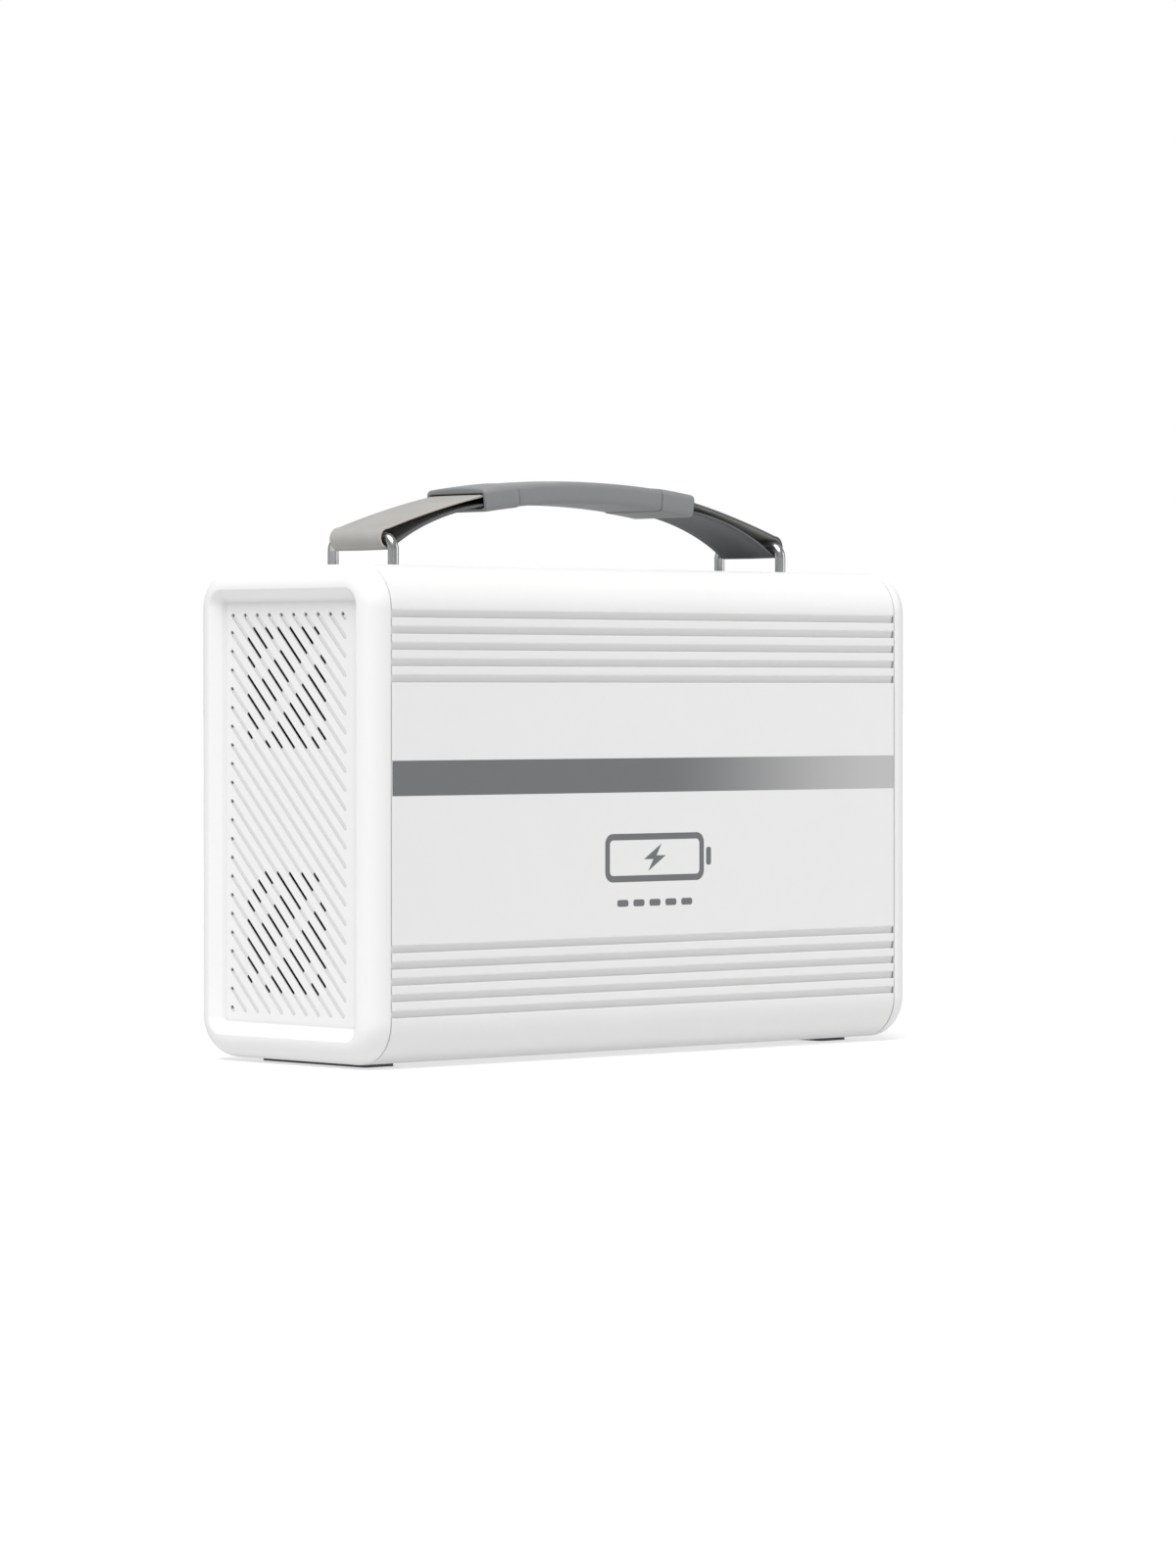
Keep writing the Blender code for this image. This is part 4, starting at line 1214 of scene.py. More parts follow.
@dataclass
class Housing(Assembly):
    """The ribbed shell, its stripes and its foot pads."""

    corner: float = 21.5
    wall: float = 3.0
    groove_pitch: float = 7.78
    groove_count: int = 5
    lower_grooves: float = 23.0
    upper_grooves: float = 183.9
    groove_depth: float = 1.75
    groove_height: float = 4.0
    stripe_depth: float = 0.4
    stripe_base: float = 129.5
    stripe_height: float = 17.0
    end_chamfer: float = 0.35
    leg_hole: float = 3.05
    length: float = field(init=False)
    width: float = field(init=False)
    height: float = field(init=False)
    base: float = field(init=False)

    def __post_init__(self) -> None:
        """Read the shell's place and size from the frame."""
        low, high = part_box("housing_shell")
        self.length = (high.x - low.x) / MM
        self.width = (high.y - low.y) / MM
        self.height = (high.z - low.z) / MM
        self.base = low.z / MM

    @property
    def top(self) -> float:
        """The height of the shell's top."""
        return self.base + self.height

    def groove(self, base: float) -> list[Point2]:
        """One groove: a crisp lower lip, then a slope out to a softer upper edge.

        Args:
            base: The height of the lower lip above the shell's underside.

        Returns:
            (inset, height) points.
        """
        deep, top = self.groove_depth, base + self.groove_height
        lip = [(0.0, base - 0.2), (0.08, base - 0.04), (0.25, base + 0.05)]
        floor = [(deep - 0.1, base + 0.15), (deep, base + 0.35), (0.78 * deep, top - 0.85)]
        return lip + floor + [(0.22, top - 0.12), (0.06, top + 0.04), (0.0, top + 0.22)]

    def side(self) -> list[Point2]:
        """One long side: grooves, the stripe's channel, grooves.

        Returns:
            (inset, height) points from the bottom up.
        """
        lower, upper = (
            [point for i in range(self.groove_count) for point in self.groove(first + i * self.groove_pitch)]
            for first in (self.lower_grooves, self.upper_grooves)
        )
        base, depth = self.stripe_base, self.stripe_depth
        top = base + self.stripe_height
        return lower + [(0.0, base), (depth, base), (depth, top), (0.0, top)] + upper

    def section(self, x: float, shrink: float, inner: bool = False) -> list[Point3]:
        """The shell's section at x.

        Args:
            x: Where it is.
            shrink: How far the outline is drawn in.
            inner: Whether it is the inside wall, which has a point for each outer one.

        Returns:
            The section's points.
        """
        half, radius = self.width / 2, self.corner
        high = self.height - radius
        inset = self.wall if inner else shrink
        rim = radius - inset
        right = [(half - (inset if inner else depth + shrink), z) for depth, z in self.side()]
        near = half - radius
        flat = (
            arc((near, radius), rim, -90, -3, 14) + right + arc((near, high), rim, 3, 90, 14)
            + arc((-near, high), rim, 90, 177, 14) + [(-y, z) for y, z in reversed(right)]
            + arc((-near, radius), rim, 183, 270, 14)
        )
        return [(x, y, z + self.base) for y, z in flat]

    def shell(self) -> None:
        """The shell, with crisp grooves, small end chamfers and holes for the loops' legs."""
        end, cut = self.length / 2, self.end_chamfer
        rings = [
            self.section(-end, cut), self.section(-end + cut, 0.0), self.section(end - cut, 0.0),
            self.section(end, cut), self.section(end, 0.0, True), self.section(-end, 0.0, True),
        ]
        mesh = loft("housing_shell_skin", rings, ring=True)
        low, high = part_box("strap_loop_socket_end")
        x = (low.x + high.x) / 2 / MM
        y = high.y / MM - (high.x - low.x) / 2 / MM
        hole = self.leg_hole
        lip = [(0.0, 2.0), (hole + 2.3, 2.0), (hole, -0.35), (hole, -8.0), (0.0, -8.0)]
        holes = [
            turned("leg_hole", lip, (side_x * x, side_y * y, self.top), IDENTITY, 32)
            for side_x in (-1, 1) for side_y in (-1, 1)
        ]
        mesh = carved(mesh, gathered("leg_holes", holes))
        self.add(
            "housing_shell_skin", mesh, Skin.WHITE_POWDER_COAT, stands_for=["housing_shell"], sharp=28.0,
            flat=True,
        )

    def stripes(self) -> None:
        """The printed band on each long side, level with the face."""
        z = self.base + self.stripe_base + self.stripe_height / 2
        size = (self.length - 2 * self.end_chamfer, 0.36, self.stripe_height - 0.1)
        for node, side in (("stripe_front", -1), ("stripe_back", 1)):
            y = side * (self.width / 2 - 0.19)
            self.add(node + "_band", box_mesh(node, size, (0.0, y, z)), Skin.STRIPE_INK, stands_for=[node])

    def feet(self) -> None:
        """The two foot pads, with rounded edges and a shallow tread."""
        for node in ("foot_vent_end", "foot_socket_end"):
            low, high = box_of(node)
            size, centre = high - low, (low + high) / 2
            outline = rounded_rectangle(size.x, size.y, 2.0, 6)
            mesh = flat_shape(node, [outline], size.z, Matrix.Translation(centre))
            treads = [
                box_mesh("tread", (size.x - 4.0, 1.0, 0.8), (centre.x, centre.y + i * 6.0, 0.0))
                for i in range(-5, 6)
            ]
            mesh = carved(softened(mesh, 0.35), gathered("treads", treads))
            self.add(node + "_pad", mesh, Skin.SLATE_RUBBER, stands_for=[node])

    def build(self) -> None:
        """Make the shell, its stripes and its feet."""
        self.shell()
        self.stripes()
        self.feet()


@dataclass
class FrontMark(Assembly):
    """A generic charge mark printed on the front: a cell outline with a flash, over a row of level bars."""

    middle_x: float = 1.0
    sign_z: float = 99.0
    sign_width: float = 68.0
    sign_height: float = 24.0
    line: float = 3.2
    bars_z: float = 76.5
    bar_count: int = 5
    bar_pitch: float = 11.0
    print_depth: float = 0.04

    def build(self) -> None:
        """Print the mark a hair proud of the front face."""
        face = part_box("housing_shell")[0].y / MM
        half_w, half_h, line = self.sign_width / 2, self.sign_height / 2, self.line
        outer = rounded_rectangle(self.sign_width, self.sign_height, 5.0)
        inner = rounded_rectangle(self.sign_width - 2 * line, self.sign_height - 2 * line, 2.2)
        nub = rounded_rectangle(3.4, 9.0, 1.2, 4, (half_w + 3.3, 0.0))
        tip = half_h - 5.2
        flash = [(4.6, tip), (-7.6, -0.9), (-1.1, -0.9), (-4.6, -tip), (7.6, 0.9), (1.1, 0.9)]
        sign = [[outer, inner], [nub], [flash]]
        start = -(self.bar_count - 1) / 2 * self.bar_pitch
        drop = self.bars_z - self.sign_z
        bars = [
            [rounded_rectangle(7.6, 3.4, 1.2, 4, (start + i * self.bar_pitch, drop))]
            for i in range(self.bar_count)
        ]
        where = Matrix.Translation((self.middle_x, face, self.sign_z)) @ Axis.Y.turn
        parts = [flat_shape("mark", loops, self.print_depth, where) for loops in sign + bars]
        self.add("front_charge_mark", gathered("front_charge_mark", parts), Skin.MARK_INK)


@dataclass
class EndCap(Assembly):
    """What both end caps share: the rounded rim, the sloping recess and the floor."""

    end: End
    node: str
    corner: float = 21.5
    rim_radius: float = 11.2
    depth: float = 13.2
    floor_out: float = 7.5
    floor_thickness: float = 1.4
    seam_gap: float = 0.7
    width: float = field(init=False)
    height: float = field(init=False)
    seam: float = field(init=False)
    middle: float = field(init=False)
    floor_x: float = field(init=False)

    def __post_init__(self) -> None:
        """Read the shell's size from the frame."""
        low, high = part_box("housing_shell")
        self.width = (high.y - low.y) / MM
        self.height = (high.z - low.z) / MM
        self.seam = high.x / MM
        self.middle = (low.z + high.z) / 2 / MM
        self.floor_x = self.seam + self.floor_out

    def profile(self) -> list[Point2]:
        """The cap from its inner floor, over the rim, to its outer floor.

        Returns:
            (inset, distance out) points.
        """
        inner, gap = self.floor_out - self.floor_thickness, self.seam_gap
        points = [(10.3, inner), (6.3, inner), (6.3, -8.0), (3.3, -8.0), (3.3, gap)]
        points += [(0.5, gap), (0.15, gap + 0.15), (0.0, gap + 0.5)]
        points += arc((self.rim_radius, self.depth - self.rim_radius), self.rim_radius, 180, 90, 20)
        points += arc((self.rim_radius, self.depth - 0.9), 0.9, 78, 45, 3)
        points += [(14.3, self.depth - 2.72)]
        points += arc((17.92, self.floor_out + 1.5), 1.5, 225, 270, 5)
        return points

    def body(self) -> bpy.types.Mesh:
        """The cap before its floor is cut.

        Returns:
            The closed mesh.
        """
        rings = []
        for inset, out in self.profile():
            radius = max(self.corner - 1.12 * inset, 1.3)
            flat = rounded_rectangle(self.width - 2 * inset, self.height - 2 * inset, radius, 12)
            rings.append([(x, y, out) for x, y in flat])
        where = Matrix.Translation((self.end.value * self.seam, 0, self.middle))
        return loft(self.node, rings, where @ self.end.turn)


@dataclass(frozen=True)
class Stretch:
    """One open stretch of a diagonal slot: its line, and where it starts and ends in y."""

    line: int
    start: float
    stop: float


@dataclass
class VentCap(EndCap):
    """The vented cap: shallow diagonal grooves all over, cut right through in front of each fan."""

    pitch: float = 9.2
    zero: float = 175.3
    first_line: int = -21
    last_line: int = 9
    field: tuple[Point2, Point2] = ((-40.9, 44.4), (25.4, 219.0))
    zone_half: float = 29.7
    groove_steps: tuple[Point3, ...] = ((1.15, 0.0, -0.3), (1.1, 0.0, 0.0), (0.8, -0.2, 0.45))
    slot_steps: tuple[Point3, ...] = ((0.95, 0.0, 0.1), (0.85, 0.0, 0.7), (1.7, 0.0, 0.9), (1.7, 0.0, 4.0))
    pit: Point2 = (0.85, 4.0)
    rib_gap: float = 7.7
    rib_step: float = 32.8
    rib_offset: float = -4.4
    chamfer: float = 12.3

    def rise(self, line: int) -> float:
        """How far z is above y along a slot's line."""
        return self.zero + line * self.pitch

    def grooves(self) -> list[Stretch]:
        """The shallow grooves.

        Returns:
            One stretch for each line, across the whole field.
        """
        (left, right), (bottom, top) = self.field
        found = []
        for line in range(self.first_line, self.last_line + 1):
            rise = self.rise(line)
            found.append(Stretch(line, max(left, bottom - rise), min(right, top - rise)))
        return [item for item in found if item.stop - item.start > 1.0]

    def pits(self) -> list[bpy.types.Mesh]:
        """The small round hole at the upper end of each groove.

        Returns:
            The cutters.
        """
        radius, depth = self.pit
        profile = [(0.0, 1.0), (radius, 1.0), (radius, -depth), (0.0, -depth)]
        tips = [(-self.floor_x, item.stop, item.stop + self.rise(item.line)) for item in self.grooves()]
        return [turned("pit", profile, tip, End.VENT.turn, 12) for tip in tips]

    def open_stretches(self, centre_y: float, centre_z: float, chamfered: bool) -> list[Stretch]:
        """The stretches that are cut through in one fan's zone.

        Args:
            centre_y: The zone's centre.
            centre_z: The zone's centre.
            chamfered: Whether the zone's far upper corner is cut off.

        Returns:
            The stretches.
        """
        half = self.zone_half - 0.8
        middle = math.floor((centre_z - centre_y - self.zero) / self.pitch)
        reach = math.floor(2 * half / self.pitch)
        found = []
        for line in range(middle - reach, middle + reach + 1):
            rise = self.rise(line)
            low = max(centre_y - half, centre_z - half - rise)
            high = min(centre_y + half, centre_z + half - rise)
            if chamfered:
                high = min(high, (centre_z + centre_y + 2 * half - self.chamfer - rise) / 2)
            ribs = [0] + [1] * (-2 < line - middle <= 2) + [-1] * (0 <= line - middle <= 1)
            start = low
            for rib in sorted(ribs):
                centre = (centre_z + centre_y + self.rib_offset + rib * self.rib_step - rise) / 2
                cut = (self.rib_gap / 2 + 0.8) / math.sqrt(2)
                found.append(Stretch(line, start, min(high, centre - cut)))
                start = max(start, centre + cut)
            found.append(Stretch(line, start, high))
        return [item for item in found if item.stop - item.start > 0.6]

    def capsule(self, item: Stretch, steps: Sequence[Point3]) -> bpy.types.Mesh:
        """A cutter with round ends along one stretch.

        Args:
            item: The stretch.
            steps: (half width, shift to the line's upper side, depth) of its sections, from the outside in.

        Returns:
            The cutter's mesh.
        """
        rings = []
        for half, shift, depth in steps:
            aside = shift * math.sqrt(0.5)
            first = (item.start - aside, item.start + self.rise(item.line) + aside)
            last = (item.stop - aside, item.stop + self.rise(item.line) + aside)
            flat = arc(last, half, -45, 135, 8) + arc(first, half, 135, 315, 8)
            rings.append([(-(self.floor_x - depth), y, z) for y, z in flat])
        return loft("slot", rings)

    def build(self) -> None:
        """Cut the grooves, then the open slots, and dress the fans behind them."""
        mesh = self.body()
        shallow = [self.capsule(item, self.groove_steps) for item in self.grooves()]
        mesh = carved(mesh, gathered("grooves", shallow))
        deep = self.pits()
        for node in ("fan_frame_upper", "fan_frame_lower"):
            centre = centre_of(node)
            stretches = self.open_stretches(centre.y, centre.z, node.endswith("lower"))
            deep += [self.capsule(item, self.slot_steps) for item in stretches]
        mesh = carved(mesh, gathered("slots", deep))
        self.add(
            "vent_cap_moulding", mesh, Skin.WHITE_MOULDING, stands_for=[self.node], sharp=12.0, flat=True
        )
        self.dress(Skin.FAN_BLACK, "fan_frame_upper", "fan_frame_lower", "fan_rotor_upper", "fan_rotor_lower")


@dataclass
class SocketCap(EndCap):
    """The socket end's cap, with a hole for each display, button and socket, read from their solids."""

    def hole(self, node: str, room: float) -> bpy.types.Mesh:
        """A round cutter in front of a node.

        Args:
            node: The node.
            room: The hole's radius.

        Returns:
            The cutter.
        """
        centre = centre_of(node)
        mouth = [(0.0, 2.0), (room + 1.2, 2.0), (room + 0.35, 0.1), (room, -0.35), (room, -6.0), (0.0, -6.0)]
        return turned("hole", mouth, (self.floor_x, centre.y, centre.z), Axis.X.turn)

    def window(self, node: str, room: float, radius: float) -> bpy.types.Mesh:
        """A rounded square cutter in front of a node.

        Args:
            node: The node.
            room: The gap that is left round the node.
            radius: The hole's corner radius.

        Returns:
            The cutter.
        """
        low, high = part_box(node)
        centre, size = (low + high) / 2 / MM, (high - low) / MM
        rings = []
        for grow, x in ((1.2, 2.0), (0.35, 0.1), (0.0, -0.3), (0.0, -6.0)):
            flat = rounded_rectangle(
                size.y + 2 * (room + grow), size.z + 2 * (room + grow), radius + grow, 6, (centre.y, centre.z)
            )
            rings.append([(self.floor_x + x, y, z) for y, z in flat])
        return loft("window", rings)

    def build(self) -> None:
        """Cut the floor for every piece that sits in it."""
        holes = [self.hole(node, 7.3) for node in ("button_power", "button_dc", "button_ac")]
        holes += [self.hole("dc_jack_%d" % i, 5.3) for i in (1, 2, 3)]
        holes += [self.hole(node, 15.3) for node in ("ac_socket_upper", "ac_socket_lower")]
        holes.append(self.hole("socket_contact", 12.8))
        holes.append(self.window("display_window", 0.15, 0.75))
        holes.append(self.window("usb_module", 0.2, 0.4))
        mesh = carved(self.body(), gathered("holes", holes))
        self.add(
            "socket_cap_moulding", mesh, Skin.WHITE_MOULDING, stands_for=[self.node], sharp=25.0, flat=True
        )


@dataclass
class Handle(Assembly):
    """The two wire loops, the webbing strap that runs round both, and the moulded grip."""

    wire_radius: float = 2.75
    bend: float = 6.0
    half_width: float = 19.0
    thickness: float = 1.4
    spread: float = 6.0
    wrap: float = 5.75
    leave: float = 119.0
    arch_radius: float = 498.0
    inside: float = 22.0
    cuff: float = 22.3
    cuff_rise: float = 0.5
    above: float = 6.6
    below: float = 5.1
    camber: float = 1.3
    mouth: Point2 = (39.6, 7.4)
    over_bend: tuple[Point2, Point2] = ((92.0, 31.7), (118.0, 24.0))
    under_bend: tuple[Point2, Point2] = ((119.0, 18.0), (98.0, 27.3))
    blend_from: float = 124.0
    loop_x: float = field(init=False)
    leg_y: float = field(init=False)
    foot: float = field(init=False)
    bar: float = field(init=False)
    top: float = field(init=False)
    grip_half: float = field(init=False)
    grip_width: float = field(init=False)
    crown: float = field(init=False)

    def __post_init__(self) -> None:
        """Read the loops' and the grip's places from the frame."""
        low, high = box_of("strap_loop_socket_end")
        self.loop_x = (low.x + high.x) / 2
        self.leg_y = high.y - self.wire_radius
        self.foot = low.z
        self.bar = high.z - self.wire_radius
        self.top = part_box("housing_shell")[1].z / MM
        low, high = box_of("handle_grip")
        self.grip_half = high.x
        self.grip_width = high.y - low.y
        self.crown = high.z - self.above

    def arch(self, x: float) -> float:
        """The height of the handle's middle line at x."""
        return self.crown - (self.arch_radius - math.sqrt(self.arch_radius**2 - x * x))

    def loops(self) -> None:
        """The two U-shaped wire loops."""
        for node, side in (("strap_loop_vent_end", -1), ("strap_loop_socket_end", 1)):
            corner = (self.leg_y - self.bend, self.bar - self.bend)
            bend = arc(corner, self.bend, 0, 90, 12)
            x = side * self.loop_x
            half = [(x, self.leg_y, self.foot)] + [(x, y, z) for y, z in bend]
            points = half + [(x, -y, z) for _, y, z in reversed(half)]
            mesh = wire(node, points, self.wire_radius)
            self.add(node + "_wire", mesh, Skin.BRIGHT_WIRE, stands_for=[node], sharp=60.0)

    def strap_line(self) -> list[Point2]:
        """One half of the strap's middle line, out over the top, round the bar and back underneath.

        Returns:
            (x, z) points.
        """
        half = (self.spread - self.thickness) / 2
        radius = self.wrap - self.thickness / 2
        angle = math.radians(-self.leave)
        foot = (self.loop_x + radius * math.cos(angle), self.bar + radius * math.sin(angle))
        edge, top = self.grip_half, self.top
        xs = [self.inside + (edge - self.inside) * i / 8 for i in range(8)]
        start, over = (edge, self.arch(edge) + half), (self.loop_x, self.bar + radius)
        upper = bezier((start, *((x, top + z) for x, z in self.over_bend), over), 26)
        wrap = arc((self.loop_x, self.bar), radius, 90, -self.leave, 30)[:-1]
        stop = (edge, self.arch(edge) - half)
        lower = bezier((foot, *((x, top + z) for x, z in self.under_bend), stop), 26)
        line = [(x, self.arch(x) + half) for x in xs] + upper + wrap + lower
        return line + [stop] + [(x, self.arch(x) - half) for x in reversed(xs)]

    @staticmethod
    def painted_shade(station: int, count: int) -> float:
        """How much painted shade the strap takes: none over the top, all of it along the lower run
        underneath.

        Args:
            station: The station along the strap.
            count: How many there are.

        Returns:
            A share from 0 to 1.
        """
        return min(1.0, max(0.0, (station / count - 0.56) / 0.06))

    def strap_section(self) -> list[Point2]:
        """The strap's section, a little crowned, with rounded edges.

        Returns:
            (across, thickness) points.
        """
        half, thin = self.half_width, self.thickness / 2
        flat = [half - 0.45 - i * (2 * half - 0.9) / 8 for i in range(9)]
        over = [(y, thin + 0.12 * (1 - (y / half) ** 2)) for y in flat]
        under = [(y, -thin - 0.05 * (1 - (y / half) ** 2)) for y in reversed(flat)]
        left = [(-half + 0.12, thin * 0.72), (-half, 0.0), (-half + 0.12, -thin * 0.72)]
        right = [(half - 0.12, -thin * 0.72), (half, 0.0), (half - 0.12, thin * 0.72)]
        return over + left + under + right

    def strap(self) -> None:
        """Both halves of the strap, drawn round the loops and through the grip, on no body."""
        line = self.strap_line()
        section = self.strap_section()
        for side, name in ((-1, "strap_webbing_vent_end"), (1, "strap_webbing_socket_end")):
            rings, along, painted_shade = [], [], []
            travelled = 0.0
            for i, (x, z) in enumerate(line):
                before, after = Vector(line[max(i - 1, 0)]), Vector(line[min(i + 1, len(line) - 1)])
                way = (after - before).normalized()
                out = Vector((-way.y, way.x))
                if i:
                    travelled += (Vector(line[i]) - Vector(line[i - 1])).length
                rings.append([(side * (x + out.x * t), y, z + out.y * t) for y, t in section])
                along += [travelled * MM] * len(section)
                # Painted shade: the socket end's strap is darkened along its edges.
                painted_edge_shade = [side > 0 and abs(y) > self.half_width - 0.2 for y, _ in section]
                painted_shade += [max(self.painted_shade(i, len(line)), float(dark)) for dark in painted_edge_shade]
            mesh = loft(name, rings)
            across = [vertex.co.y for vertex in mesh.vertices]
            for attribute, values in (("along", along), ("across", across), ("painted_shade", painted_shade)):
                mesh.attributes.new(attribute, "FLOAT", "POINT").data.foreach_set("value", values)
            nodes = ["carry_strap"] if side > 0 else []
            piece = self.add(name, mesh, Skin.STRAP_WEBBING, body=None, stands_for=nodes, sharp=60.0)
            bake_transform(piece)

    def grip_stations(self) -> list[Point2]:
        """The grip's sections from the middle to one end.

        Returns:
            (x, growth) of each.
        """
        seam = self.grip_half - self.cuff
        rise = self.cuff_rise
        middle = [(seam * i / 14, 0.0) for i in range(14)]
        dip = [(-0.5, 0.0), (-0.3, -0.12), (-0.2, -0.5), (0.15, -0.5), (0.25, 0.1)]
        step = [(seam + on, grow) for on, grow in dip + [(0.5, rise * 0.85), (0.9, rise)]]
        cuff = [(seam + 0.9 + (self.cuff - 2.2) * i / 5, rise) for i in range(1, 6)]
        end = self.grip_half
        return middle + step + cuff + [(end - 0.7, rise - 0.12), (end - 0.25, rise - 0.5), (end, rise - 1.1)]

    @staticmethod
    def sleeve(width: float, height: float, radius: float) -> list[Point2]:
        """A rounded rectangle with more points along its top, which both walls of the grip follow.

        Args:
            width: Its width.
            height: Its height.
            radius: Its corners' radius.

        Returns:
            (across, up) points.
        """
        flat = rounded_rectangle(width, height, radius, 6)
        right, level = flat[13]
        return flat[:14] + [(right - right * i / 6, level) for i in range(1, 12)] + flat[14:]

    def raised(self, x: float, points: Iterable[Point2]) -> list[Point3]:
        """Stand a section on the handle's arch.

        Args:
            x: Where it is.
            points: Its (across, up) points.

        Returns:
            The section's points.
        """
        lean, arch = math.asin(x / self.arch_radius), self.arch(x)
        return [(x + up * math.sin(lean), y, arch + up * math.cos(lean)) for y, up in points]

    def grip_section(self, x: float, grow: float) -> list[Point3]:
        """The grip's outer section at x.

        Args:
            x: Where it is.
            grow: How far it stands out past the plain section.

        Returns:
            The section's points.
        """
        side = self.above - self.camber + self.below
        level = (self.above - self.camber - self.below) / 2
        points = []
        for y, n in self.sleeve(self.grip_width + 2 * grow, side + 2 * grow, 2.4 + grow):
            crown = self.camber * max(0.0, 1 - (2 * y / self.grip_width) ** 2) if n > 0 else 0.0
            points.append((y, level + n + crown))
        return self.raised(x, points)

    def mouth_section(self, x: float, grow: float) -> list[Point3]:
        """The section at x of the way through the grip.

        Args:
            x: Where it is.
            grow: How far it is widened.

        Returns:
            The section's points.
        """
        width, height = self.mouth
        return self.raised(x, self.sleeve(width + 2 * grow, height + 2 * grow, 0.8 + grow))

    def grip(self) -> None:
        """The grip: a crowned sleeve with a cuff at each end and a flat way through it."""
        stations = self.grip_stations()
        across = [(-x, grow) for x, grow in reversed(stations[1:])] + stations
        rings = [self.grip_section(x, grow) for x, grow in across]
        end = self.grip_half
        inner = [(end, 0.4), (end - 0.6, 0.0)] + [(end * (4 - i) / 5, 0.0) for i in range(9)]
        inner += [(0.6 - end, 0.0), (-end, 0.4)]
        rings += [self.mouth_section(x, grow) for x, grow in inner]
        mesh = loft("handle_grip_sleeve", rings, ring=True)
        self.add(
            "handle_grip_sleeve", mesh, Skin.GRIP_SKIN, body=GRIP, stands_for=["handle_grip"], sharp=38.0
        )

    def build(self) -> None:
        """Make the loops, the strap and the grip."""
        self.loops()
        self.strap()
        self.grip()
        self.dress(Skin.PLATED_STEEL, "anchor_plate_vent_end", "anchor_plate_socket_end")


